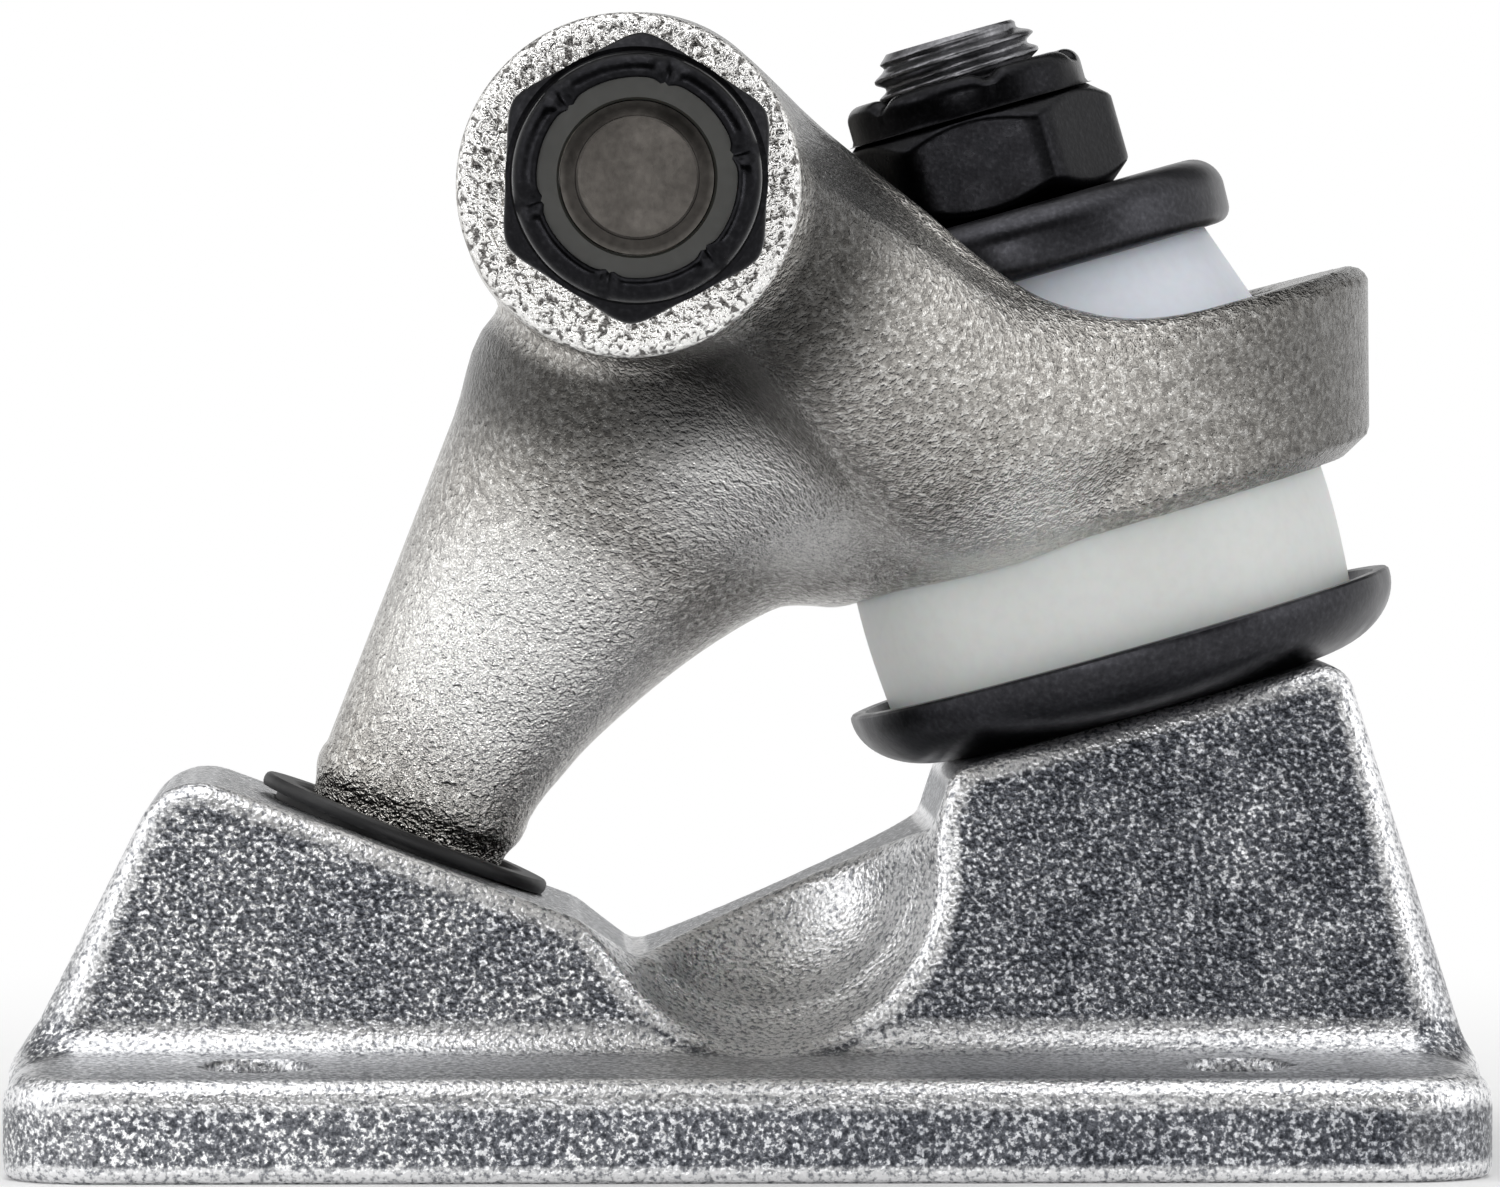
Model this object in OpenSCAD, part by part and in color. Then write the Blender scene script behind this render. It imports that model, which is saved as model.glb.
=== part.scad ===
// Skateboard truck: cast base plate and hanger, kingpin with two bushings, axle with lock nuts.
// Lengths are millimetres and angles are degrees. X runs along the board, Y along the axle, Z up.
// The base plate stands on Z = 0, centred on X and Y, with the pivot at -X and the kingpin at +X.

/* [Base plate] */
// Length of the plate along the board
plate_l = 82; // [74:0.5:95]
// Width of the plate along the axle
plate_w = 55; // [50:0.5:66]
// Height of the plate at its edge
plate_t = 5.6; // [4:0.1:8]
// Rise of the plate's top from its edge to the blocks
plate_crown = 0.9; // [0:0.1:2]
// Radius of the plate's corners seen from above
plate_corner = 5.5; // [4:0.5:14]
// Rounding of the plate's edges
plate_edge = 1.4; // [0.5:0.1:2.4]
// Bolt spacing along the board
bolt_dx = 53.98; // [48:0.01:64]
// Bolt spacing along the axle
bolt_dy = 41.28; // [36:0.01:44]
// Bolt hole diameter
bolt_hole_d = 5.5; // [4.8:0.1:6.5]
// Distance from the plate's ends to the foot of the blocks
foot_inset = 0.4; // [0.2:0.1:4]
// Width of the blocks at their foot
foot_w = 31; // [28:0.5:33]
// Width of the blocks at the height of the bushing seat
block_top_w = 25; // [22:0.5:28]
// Rounding of the pivot block's back corner
back_round = 3.4; // [1.5:0.1:4]
// Rounding of the pivot block's front corner
front_round = 3.5; // [1.5:0.1:5]
// Rounding of the kingpin block's top corners
seat_round = 1.8; // [0.8:0.1:3]
// Lowest place of the web along the board
web_low_x = -6; // [-7:0.1:-4]
// Height of the web where it leaves the pivot block
web_low_z = 11.4; // [10:0.1:13]
// Place where the web meets the kingpin block
web_high_x = 10.5; // [8:0.1:11]
// Height of the web where it meets the kingpin block
web_high_z = 18.7; // [17:0.1:20]
// Radius of the scoop in each side of the web
scoop_r = 9.8; // [8:0.1:10.5]
// Place of the scoops along the board
scoop_x = 1.1; // [-1:0.1:3]
// Height of the scoops' middle
scoop_z = 16.9; // [15.5:0.1:18]

/* [Pivot] */
// Middle of the cup's mouth along the board
pivot_x = -18.9; // [-21:0.1:-16]
// Middle of the cup's mouth above the deck
pivot_z = 18.4; // [16.5:0.1:21]
// Lean of the pivot bore from upright
pivot_tilt = 21.7; // [15:0.1:28]
// Diameter of the cup's rim
cup_rim_d = 17.2; // [16:0.1:19]
// Thickness of the cup's rim
cup_rim_t = 0.75; // [0.5:0.05:1.5]
// Diameter of the cup's body
cup_d = 15.2; // [14.6:0.1:15.8]
// Diameter of the cup's mouth
cup_mouth_d = 13.6; // [13.4:0.1:14]
// Thickness of the cup's floor
cup_floor_t = 1.4; // [0.8:0.1:2.2]
// Diameter of the hanger's pivot nose
nose_d = 10.4; // [9:0.1:10.8]
// Depth of the nose's centre below the mouth
nose_depth = 5; // [4.2:0.1:6]
// Radial gap between the nose and the cup
nose_gap = 0.3; // [0.2:0.05:0.5]
// Distance from the pivot axis to the back edge of the block's top
pivot_back = 13.8; // [12.5:0.1:15]
// How far the back edge of the block's top lies below the rim's plane
back_drop = 0.6; // [0:0.1:1.2]
// Distance from the pivot axis to the front edge of the block's top
pivot_front = 10.6; // [9.8:0.1:11.5]

/* [Kingpin] */
// Middle of the bushing seat along the board
seat_x = 22.6; // [20:0.1:25]
// Middle of the bushing seat above the deck
seat_z = 25.2; // [23:0.1:28]
// Lean of the kingpin from upright
kingpin_tilt = 15.8; // [10:0.1:20]
// Kingpin diameter
kingpin_d = 9.5; // [8:0.1:10.2]
// Kingpin head across flats
head_af = 14.29; // [13:0.01:16]
// Kingpin head height
head_h = 6.2; // [4.5:0.1:7]
// Thickness of the block between the seat and the head
grip = 17.1; // [15:0.1:18]
// Length of thread past the nut
tip_l = 2.4; // [1:0.1:6]
// Chamfer at the kingpin's tip
tip_chamfer = 1; // [0.4:0.1:1.6]
// Length of the seat's flat top along the board
seat_l = 22.8; // [21:0.1:26]
// Clearance round the kingpin in the block
kingpin_gap = 0.12; // [0.05:0.01:0.4]

/* [Bushings and washers] */
// Diameter of the lower bushing
lower_d = 27.2; // [25:0.1:28.4]
// Height of the lower bushing
lower_h = 12.1; // [10.5:0.1:13.5]
// Bulge of the lower bushing's side
lower_bulge = 0.25; // [0:0.05:0.5]
// Diameter of the upper bushing at its foot
upper_d = 27; // [25:0.1:28]
// Diameter of the upper bushing at its top
upper_top_d = 22.4; // [20:0.1:24]
// Height of the upper bushing
upper_h = 10; // [8.5:0.1:11.5]
// Sheet thickness of the cup washers
washer_t = 1.9; // [1.4:0.1:2.4]
// Rise of the lower washer's rim above the seat
lower_washer_h = 3.9; // [3.2:0.1:5]
// How far the lower washer's rim stands out from the bushing
lower_lip = 2.3; // [1.6:0.1:3]
// Width of the lower washer's rim edge
lower_rim_t = 0.9; // [0.5:0.1:1.2]
// Drop of the upper washer's skirt
upper_skirt = 2; // [1.4:0.1:2.6]
// How far the upper washer's rim stands out from the bushing
upper_lip = 1.6; // [1.2:0.1:2.4]
// Gap between a bushing and what holds it
bushing_gap = 0.15; // [0.05:0.05:0.3]

/* [Hanger] */
// Axle along the board
axle_x = -7.1; // [-9:0.1:-5]
// Axle above the deck
axle_z = 54.1; // [51:0.1:57]
// Width of the hanger between its end faces
hanger_w = 133; // [120:0.5:150]
// Diameter of the axle barrel
barrel_d = 17.7; // [16:0.1:19]
// Chamfer at the barrel's ends
barrel_chamfer = 0.5; // [0.2:0.1:1]
// Depth of the lower bushing seat in the ring
seat_depth = 3.5; // [2.5:0.1:4]
// Depth of the upper bushing seat in the ring
upper_seat_depth = 3.6; // [2.8:0.1:4.4]
// Thickness of the wall between the two bushing seats
seat_web = 3.2; // [2.6:0.1:4]
// Bore of the ring between the seats
ring_bore_d = 16; // [14:0.1:18]
// Wall of the ring at its lower edge
ring_wall_low = 3; // [2:0.1:4]
// Wall of the ring at its upper edge
ring_wall_high = 5.2; // [3.5:0.1:6.5]
// Half depth of the side arms where they meet the ring
arm_r = 7.4; // [6:0.1:8.4]
// Place of the arms' ends, from the kingpin's axis
arm_end_r = -5.2; // [-6:0.1:-4]
// Half width of the stem at its neck
stem_r = 6.1; // [5.6:0.1:6.4]
// How far the arms lie above the line from the axle to the ring
arm_shift = 3.1; // [1:0.1:4]
// Place where the arms come down to the ring's top, from the kingpin's axis
saddle_x = 1; // [-1:0.1:2]
// Radius of the hollow between the arms and the ring's top
saddle_r = 6.2; // [4:0.1:8]
// Half width of the arms where they start to spread
arm_in = 14; // [11:0.5:16]
// Half width where the arms have run out into the barrel
arm_out = 46; // [36:0.5:56]
// Gap round the upper washer in the hanger's pocket
pocket_gap = 1.2; // [0.8:0.1:1.8]
// Extra half width of the pocket along the axle, for the lean
pocket_lean = 3.2; // [2.8:0.1:4]
// Gap round the nut for a socket
socket_gap = 3.6; // [2.5:0.1:4]

/* [Axle] */
// Axle diameter where the bearings sit
axle_d = 7.94; // [7:0.01:8]
// Axle length
axle_l = 203; // [190:0.5:220]
// Axle diameter inside the hanger
core_d = 8.3; // [8.2:0.1:9.5]
// Length of thread at each end
thread_l = 10.2; // [9.5:0.1:14]
// How far the thread's middle lies below the bearing seat
thread_drop = 0.25; // [0.2:0.01:0.35]
// Chamfer at the axle's ends
axle_chamfer = 0.4; // [0.3:0.1:1]
// How far the axle's end stands out of the nut
axle_tip = 0.3; // [0.1:0.1:2]
// Speed washer outside diameter
speed_washer_d = 12.2; // [11:0.1:13]
// Speed washer thickness
speed_washer_t = 1; // [0.6:0.1:1.5]
// Radial gap between a speed washer and the axle
speed_washer_gap = 0.08; // [0.03:0.01:0.2]

/* [Lock nuts] */
// Axle nut across flats
axle_nut_af = 12.7; // [11.5:0.1:14]
// Height of the axle nut's hexagon
axle_nut_h = 4.8; // [4:0.1:6]
// Height of the axle nut's collar
axle_collar_h = 2; // [1.5:0.1:3]
// Turn of the axle nuts about the axle
axle_nut_turn = 27.5; // [0:0.5:60]
// Kingpin nut across flats
kingpin_nut_af = 14.29; // [13:0.01:16]
// Height of the kingpin nut's hexagon
kingpin_nut_h = 5.8; // [4.5:0.1:7]
// Height of the kingpin nut's collar
kingpin_collar_h = 2.2; // [1.6:0.1:3]
// Turn of the kingpin nut about the kingpin
kingpin_nut_turn = -5; // [-30:0.5:30]
// Radial gap between a nut and its thread
thread_gap = 0.05; // [0.02:0.01:0.1]
// How far a nut's collar lies inside its flats
collar_step = 0.3; // [0.1:0.05:0.6]
// Wall of a nut's collar outside the insert
collar_wall = 0.9; // [0.6:0.05:1.1]
// Height of the collar's crimped lip
lip_h = 0.5; // [0.3:0.05:0.7]
// How far the crimped lip covers the insert
lip_over = 0.3; // [0.1:0.05:0.5]
// Chamfer of the hexagon's corners
hex_chamfer = 0.75; // [0.4:0.05:1]
// Number of crimp marks in a collar
crimps = 6; // [4:1:8]
// Width of a crimp mark
crimp_w = 0.8; // [0.4:0.1:1.2]

/* [Hidden] */
$fn = 96;
// Points round a lofted ring
ring_n = 36;
// A cut runs this far past the face that it opens
past = 1;

// Heights up the kingpin, from the seat on the base plate
t_lower = washer_t;
t_ring_floor = t_lower + lower_h;
t_ring_low = t_ring_floor - seat_depth;
t_upper = t_ring_floor + seat_web;
t_ring_high = t_upper + upper_seat_depth;
t_upper_top = t_upper + upper_h;
t_washer_top = t_upper_top + washer_t;
t_nut_top = t_washer_top + kingpin_nut_h + kingpin_collar_h;
t_tip = t_nut_top + tip_l;
// Radii that mating pieces share
seat_r = max(lower_d / 2 + lower_bulge, upper_d / 2) + bushing_gap;
lower_rim_r = lower_d / 2 + lower_lip;
upper_rim_r = upper_top_d / 2 + upper_lip;
kingpin_hole_r = kingpin_d / 2 + kingpin_gap;
thread_r = axle_d / 2 - thread_drop;
barrel_r = barrel_d / 2;
// Places along the axle, from the middle of the hanger
axle_end = axle_l / 2;
nut_top_y = axle_end - axle_tip;
nut_face_y = nut_top_y - axle_collar_h - axle_nut_h;
thread_start = axle_end - thread_l;

function mix(a, b, f) = a + (b - a) * f;
function ease(f) = f * f * (3 - 2 * f);
// A point of the middle plane, r to the front of the kingpin's axis and t up it
function at_kingpin(r, t) = [seat_x + r * cos(kingpin_tilt) - t * sin(kingpin_tilt),
    seat_z + r * sin(kingpin_tilt) + t * cos(kingpin_tilt)];
// A point of the middle plane, r to the front of the pivot's axis and t up it
function at_pivot(r, t) = [pivot_x + r * cos(pivot_tilt) + t * sin(pivot_tilt),
    pivot_z - r * sin(pivot_tilt) + t * cos(pivot_tilt)];
// Smooth curve through stations, at fraction f between station i and the next
function between(p, i, f) = let (
    last = len(p) - 1,
    a = p[max(i - 1, 0)],
    b = p[i],
    c = p[min(i + 1, last)],
    d = p[min(i + 2, last)]
) 0.5 * (2 * b + (c - a) * f + (2 * a - 5 * b + 4 * c - d) * f * f + (3 * b - a - 3 * c + d) * f * f * f);
// Signed power, for rounded square sections
function rounded(v, e) = sign(v) * pow(abs(v), e);

module on_kingpin(t = 0) {
    translate([seat_x, 0, seat_z]) rotate([0, -kingpin_tilt, 0]) translate([0, 0, t]) children();
}

module on_pivot(t = 0) {
    translate([pivot_x, 0, pivot_z]) rotate([0, pivot_tilt, 0]) translate([0, 0, t]) children();
}

// Along the axle: side -1 is the front, towards the viewer, and side 1 the back
module on_axle(y, side) {
    translate([axle_x, side * y, axle_z]) rotate([-side * 90, 0, 0]) children();
}

// Closed solid through rings of points that turn anticlockwise seen from the last ring
module skin(rings) {
    n = len(rings[0]);
    m = len(rings);
    walls = [for (i = [0 : m - 2], j = [0 : n - 1]) each let (k = (j + 1) % n)
        [[i * n + j, (i + 1) * n + j, i * n + k], [i * n + k, (i + 1) * n + j, (i + 1) * n + k]]];
    ends = [[for (j = [0 : n - 1]) j], [for (j = [n - 1 : -1 : 0]) (m - 1) * n + j]];
    polyhedron([for (r = rings) each r], concat(walls, ends), convexity = 8);
}

function unit(v) = v / norm(v);
// Corner b between a and c rounded to radius r, as points
function round_corner(a, b, c, r, n = 5) = let (
    u = unit(a - b),
    v = unit(c - b),
    half = acos(u * v) / 2,
    o = b + unit(u + v) * r / sin(half),
    from = b + u * r / tan(half) - o,
    to = b + v * r / tan(half) - o
) [for (k = [0 : n]) o + r * unit(mix(from, to, k / n))];

// Outline with every corner [x, y, r] rounded to its radius r
function round_outline(v) = let (n = len(v)) [for (i = [0 : n - 1]) each let (
    a = v[(i + n - 1) % n],
    b = v[i],
    c = v[(i + 1) % n]
) b[2] == 0 ? [[b[0], b[1]]] : round_corner([a[0], a[1]], [b[0], b[1]], [c[0], c[1]], b[2])];

// Edge profile of the plate, half as long as h, rising to its crown at distance top
function plate_profile(h, top) = let (low = plate_edge * 0.4) round_outline([
    [-h, 0, low], [h, 0, low], [h, plate_t, plate_edge],
    [top, plate_t + plate_crown, 0], [-top, plate_t + plate_crown, 0], [-h, plate_t, plate_edge]]);

// Plate with rounded corners, rounded edges and a slightly crowned top
module plate() {
    x = plate_l / 2;
    y = plate_w / 2;
    r = plate_corner;
    intersection() {
        linear_extrude(height = plate_t + plate_crown)
            polygon(round_outline([[x, y, r], [-x, y, r], [-x, -y, r], [x, -y, r]]));
        rotate([90, 0, 90])
            linear_extrude(height = plate_l + past, center = true)
                polygon(plate_profile(y, foot_w / 2 - 0.5));
        rotate([90, 0, 0])
            linear_extrude(height = plate_w + past, center = true)
                polygon(plate_profile(x, x - plate_edge - 2));
    }
}

// Outline of the blocks and the web in the middle plane, from the back foot over the top to the front foot
block_outline = let (
    x = plate_l / 2 - foot_inset,
    back_foot = [-x, plate_t],
    back = at_pivot(-pivot_back, -cup_rim_t - back_drop),
    front = at_pivot(pivot_front, -cup_rim_t),
    low = [web_low_x, web_low_z],
    high = [web_high_x, web_high_z],
    seat_back = at_kingpin(-seat_l / 2, 0),
    seat_front = at_kingpin(seat_l / 2, 0),
    front_foot = [x, plate_t]
) concat(
    [[-x + 3, plate_t / 2], back_foot],
    round_corner(back_foot, back, front, back_round),
    round_corner(back, front, low, front_round),
    round_corner(front, low, high, 1),
    round_corner(low, high, seat_back, 1),
    round_corner(high, seat_back, seat_front, seat_round),
    round_corner(seat_back, seat_front, front_foot, seat_round),
    [front_foot, [x - 3, plate_t / 2]]);

// Half width of the blocks at height z
function block_half_w(z) = mix(foot_w, block_top_w, (z - plate_t) / (seat_z - plate_t)) / 2;

// Pivot block, web and kingpin block in one, their sides leaning in
module blocks() {
    top = seat_z + seat_l;
    low_y = block_half_w(0);
    top_y = block_half_w(top);
    intersection() {
        rotate([90, 0, 0])
            linear_extrude(height = plate_w, center = true)
                polygon(block_outline);
        rotate([90, 0, 90])
            linear_extrude(height = plate_l, center = true)
                polygon([[-low_y, 0], [low_y, 0], [top_y, top], [-top_y, top]]);
    }
}

// Cast aluminium base plate
module baseplate() {
    deep = nose_depth + nose_d / 2 + nose_gap + cup_floor_t;
    color("LightSlateGray")
    difference() {
        union() {
            plate();
            blocks();
        }
        for (s = [-1, 1]) translate([scoop_x, s * block_half_w(scoop_z), scoop_z]) sphere(r = scoop_r);
        for (sx = [-1, 1], sy = [-1, 1])
            translate([sx * bolt_dx / 2, sy * bolt_dy / 2, -past])
                cylinder(d = bolt_hole_d, h = plate_t + plate_crown + 2 * past);
        on_pivot(-deep) cylinder(d = cup_d, h = deep);
        on_kingpin(-grip - past) cylinder(r = kingpin_hole_r, h = grip + 2 * past);
        on_kingpin(-seat_z * 1.5)
            cylinder(r = head_af / 2 / cos(30) + kingpin_gap, h = seat_z * 1.5 - grip, $fn = 6);
    }
}

// Flanged cup with a ball seat and a flared mouth
module pivot_cup() {
    deep = nose_depth + nose_d / 2 + nose_gap + cup_floor_t;
    color("DimGray")
    on_pivot()
    difference() {
        union() {
            translate([0, 0, -deep]) cylinder(d = cup_d, h = deep);
            translate([0, 0, -cup_rim_t]) cylinder(d = cup_rim_d, h = cup_rim_t);
        }
        translate([0, 0, -nose_depth]) sphere(r = nose_d / 2 + nose_gap);
        translate([0, 0, -nose_depth])
            cylinder(r1 = nose_d / 2 + nose_gap, r2 = cup_mouth_d / 2, h = nose_depth);
        cylinder(d = cup_mouth_d, h = past);
    }
}

// Hexagon with chamfered corners on both faces
module chamfered_hex(af, h, low) {
    r = af / cos(30) / 2;
    intersection() {
        cylinder(r = r, h = h, $fn = 6);
        rotate_extrude()
            polygon([[0, 0], [r - low * 2, 0], [r + 2, low + 1], [r + 2, h - hex_chamfer - 1],
                [r - hex_chamfer * 2, h], [0, h]]);
    }
}

// Kingpin bolt with its hexagon head under the plate
module kingpin() {
    color("Gray")
    union() {
        on_kingpin(-grip) cylinder(d = kingpin_d, h = grip + t_tip - tip_chamfer);
        on_kingpin(t_tip - tip_chamfer)
            cylinder(d1 = kingpin_d, d2 = kingpin_d - 2 * tip_chamfer, h = tip_chamfer);
        on_kingpin(-grip) mirror([0, 0, 1]) chamfered_hex(head_af, head_h, 0.05);
    }
}

// Inner curve of the lower washer's bowl, drawn in by gap
function bowl(gap) = let (
    floor_r = lower_d / 2 - lower_lip - 0.8,
    top_r = lower_rim_r - lower_rim_t
) [for (a = [0 : 15 : 90])
    [floor_r + (top_r - floor_r) * sin(a) - gap, washer_t + (lower_washer_h - washer_t) * (1 - cos(a))]];

module lower_cup_washer() {
    floor_r = lower_d / 2 - lower_lip - 0.3;
    color("DarkSlateGray")
    on_kingpin()
        rotate_extrude()
            polygon(concat(
                [[kingpin_hole_r, 0]],
                [for (a = [0 : 11.25 : 90])
                    [floor_r + (lower_rim_r - floor_r) * sin(a), (lower_washer_h - 0.25) * (1 - cos(a))]],
                [[lower_rim_r - 0.25, lower_washer_h]],
                [for (i = [6 : -1 : 0]) bowl(0)[i]],
                [[kingpin_hole_r, washer_t]]));
}

// Barrel bushing, its foot rounded to lie in the bowl of the washer
module lower_bushing() {
    r = lower_d / 2;
    top = t_ring_floor;
    low = [for (p = bowl(bushing_gap)) if (p[0] < r - 0.2) p];
    start = low[len(low) - 1][1] + 0.4;
    color("White")
    on_kingpin()
        rotate_extrude()
            polygon(concat(
                [[kingpin_hole_r, washer_t]],
                low,
                [for (f = [0 : 0.125 : 1]) [r + lower_bulge * sin(180 * f), mix(start, top - 0.6, f)]],
                [[r - 0.6, top], [kingpin_hole_r, top]]));
}

// Cone bushing, its top rounded to lie in the upper washer
module upper_bushing() {
    r = upper_d / 2;
    skirt = t_upper_top - upper_skirt;
    top_r = upper_top_d / 2 - bushing_gap;
    color("WhiteSmoke")
    on_kingpin()
        rotate_extrude()
            polygon([[kingpin_hole_r, t_upper], [r - 0.6, t_upper], [r, t_upper + 0.6], [top_r, skirt],
                [top_r - 0.35, t_upper_top - 0.6], [top_r - 1, t_upper_top], [kingpin_hole_r, t_upper_top]]);
}

// Dished washer with its rim turned down over the upper bushing
module upper_cup_washer() {
    skirt = t_upper_top - upper_skirt;
    in_r = upper_top_d / 2;
    round_r = 1.8;
    color("DarkSlateGray")
    on_kingpin()
        rotate_extrude()
            polygon(concat(
                [[kingpin_hole_r, t_upper_top], [in_r - 1, t_upper_top], [in_r - 0.35, t_upper_top - 0.6],
                    [in_r, skirt], [in_r + 0.5, skirt], [upper_rim_r - 0.3, skirt + 0.5]],
                [for (a = [0 : 15 : 90])
                    [upper_rim_r - round_r * (1 - cos(a)), t_washer_top - round_r * (1 - sin(a))]],
                [[kingpin_hole_r, t_washer_top]]));
}

// Seat of a lock nut's insert
function insert_r(af) = af / 2 - collar_step - collar_wall;

// Lock nut standing on z = 0: hexagon, crowned collar and its crimp marks
module lock_nut(af, h, collar_h, bore_r) {
    collar_r = insert_r(af) + collar_wall;
    top = h + collar_h;
    seat = h - 0.4;
    difference() {
        union() {
            chamfered_hex(af, h, hex_chamfer);
            rotate_extrude()
                polygon(concat([[0, h - 0.5], [collar_r, h - 0.5]],
                    [for (a = [0 : 15 : 90])
                        [collar_r - collar_wall * (1 - cos(a)), top - collar_wall * (1 - sin(a))]],
                    [[0, top]]));
        }
        translate([0, 0, -past]) cylinder(r = bore_r, h = top + 2 * past);
        translate([0, 0, seat]) cylinder(r = insert_r(af), h = collar_h + 0.4 - lip_h);
        translate([0, 0, seat]) cylinder(r = insert_r(af) - lip_over, h = collar_h + past);
        for (i = [0 : crimps - 1])
            rotate([0, 0, 360 / crimps * i - 14])
                translate([insert_r(af) - lip_over - past, -crimp_w / 2, top - lip_h])
                    cube([collar_wall + lip_over + 2 * past, crimp_w, lip_h + past]);
    }
}

// Locking ring under the collar's lip
module lock_insert(af, h, collar_h, bore_r) {
    seat = h - 0.4;
    difference() {
        translate([0, 0, seat]) cylinder(r = insert_r(af), h = collar_h + 0.4 - lip_h);
        cylinder(r = bore_r, h = h + collar_h + past);
    }
}

module kingpin_nut() {
    color("DimGray")
    on_kingpin(t_washer_top) rotate([0, 0, kingpin_nut_turn])
        lock_nut(kingpin_nut_af, kingpin_nut_h, kingpin_collar_h, kingpin_d / 2 + thread_gap);
}

module kingpin_nut_insert() {
    color("OliveDrab")
    on_kingpin(t_washer_top)
        lock_insert(kingpin_nut_af, kingpin_nut_h, kingpin_collar_h, kingpin_d / 2 + thread_gap);
}

// Section of an arm at y: a circle in the barrel, a circle at the ring and the flanks between them
function arm_ring(y) = let (
    s = min(max((abs(y) - arm_in) / (arm_out - arm_in), 0), 1),
    f = 1 - ease(s),
    axle = [axle_x, axle_z],
    end = at_kingpin(arm_end_r, t_upper + 0.2),
    run = unit(end - axle),
    a = axle + [-run[1], run[0]] * arm_shift,
    thin = barrel_r - 0.15 - arm_shift,
    ra = mix(thin, arm_r - 0.3, f),
    c = mix(a, end, f),
    rc = mix(thin, arm_r, f)
) [for (j = [0 : ring_n - 1]) let (
    n = [sin(j * 360 / ring_n), cos(j * 360 / ring_n)],
    p = a * n + ra > c * n + rc ? a + ra * n : c + rc * n,
    up = [-sin(kingpin_tilt), cos(kingpin_tilt)],
    sunk = max(t_ring_low + 0.15 - (p - [seat_x, seat_z]) * up, 0),
    q = p + up * sunk
) [q[0], y, q[1]]];

module arms() {
    steps = 9;
    ys = [for (i = [0 : steps]) mix(arm_out, arm_in, i / steps)];
    skin([for (y = ys) arm_ring(-y), for (i = [steps : -1 : 0]) arm_ring(ys[i])]);
}

// A point of the stem, in half widths of its neck
function on_stem(r, t) = at_pivot(r * stem_r, t * stem_r);

// Stations of the hanger's body from the pivot neck to the ring: outer point, inner point, half width
body_stations = [
    [on_stem(-0.984, 0.33), on_stem(1.016, 0.33), stem_r],
    [on_stem(-0.992, 1.393), on_stem(1.18, 1.016), stem_r * 1.115],
    [on_stem(-1, 2.541), on_stem(1.475, 1.705), stem_r * 1.344],
    [on_stem(-1.008, 3.689), on_stem(1.934, 2.508), stem_r * 1.721],
    [on_stem(-1, 4.754), on_stem(2.467, 3.18), stem_r * 2.295],
    [on_stem(0, 5.82), on_stem(2.967, 3.492), stem_r * 2.623],
    [at_kingpin(-seat_r * 0.857, t_ring_high + 2), at_kingpin(-seat_r * 0.786, t_ring_low + 0.2),
        seat_r * 1.157],
    [at_kingpin(-seat_r * 0.357, t_ring_high - 0.6), at_kingpin(-seat_r * 0.357, t_ring_low + 0.6),
        seat_r * 1.143]];

// Rounded section across the body at station s
function body_ring(s) = let (
    o = s[0],
    i = s[1],
    c = (o + i) / 2,
    u = (i - o) / 2
) [for (j = [0 : ring_n - 1]) let (
    p = rounded(cos(j * 360 / ring_n), 0.85),
    q = rounded(sin(j * 360 / ring_n), 0.85)
) [c[0] + u[0] * p, s[2] * q, c[1] + u[1] * p]];

module body() {
    steps = 4;
    spans = len(body_stations) - 2;
    skin([for (i = [0 : spans], k = [0 : steps - 1]) body_ring(between(body_stations, i, k / steps)),
        body_ring(body_stations[spans + 1])]);
}

// Ring that holds the bushings, its outside drawn in towards the base
module ring() {
    on_kingpin()
        rotate_extrude()
            polygon([[0, t_ring_low], [seat_r + 0.5, t_ring_low], [seat_r + ring_wall_low, t_ring_low + 0.9],
                [seat_r + ring_wall_high, t_ring_high - 0.4], [seat_r + ring_wall_high - 0.4, t_ring_high],
                [0, t_ring_high]]);
}

// Outside radius of the ring at height t, carried on above it
function ring_out_r(t) =
    seat_r + mix(ring_wall_low, ring_wall_high, (t - t_ring_low) / (t_ring_high - t_ring_low));

// Hollow curve from the arms' tops down to the ring's top
module saddle() {
    low = t_ring_high - 2;
    foot = [saddle_x + saddle_r, t_ring_high];
    knee = [saddle_x, t_ring_high];
    top = [saddle_x - 5.6, t_ring_high + 9.4];
    intersection() {
        on_kingpin()
            rotate([90, 0, 0])
                linear_extrude(height = 4 * seat_r, center = true)
                    polygon(concat([[top[0], low], [foot[0], low], foot],
                        round_corner(foot, knee, top, saddle_r, 8), [top]));
        on_kingpin()
            rotate_extrude()
                polygon([[0, low], [ring_out_r(low), low], [ring_out_r(top[1]), top[1]], [0, top[1]]]);
    }
}

// Pivot nose: ball and neck
module nose() {
    on_pivot(-nose_depth) {
        sphere(d = nose_d);
        cylinder(d1 = nose_d - 0.2, d2 = 12, h = nose_depth + 2.2);
    }
}

// Slot with round ends across the kingpin, for the washer and the socket
module slot_cut(r, lean, t0, t1) {
    on_kingpin(t0)
        linear_extrude(height = t1 - t0) {
            for (s = [-1, 1]) translate([0, s * lean]) circle(r = r);
            square([2 * r, 2 * lean], center = true);
        }
}

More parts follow.
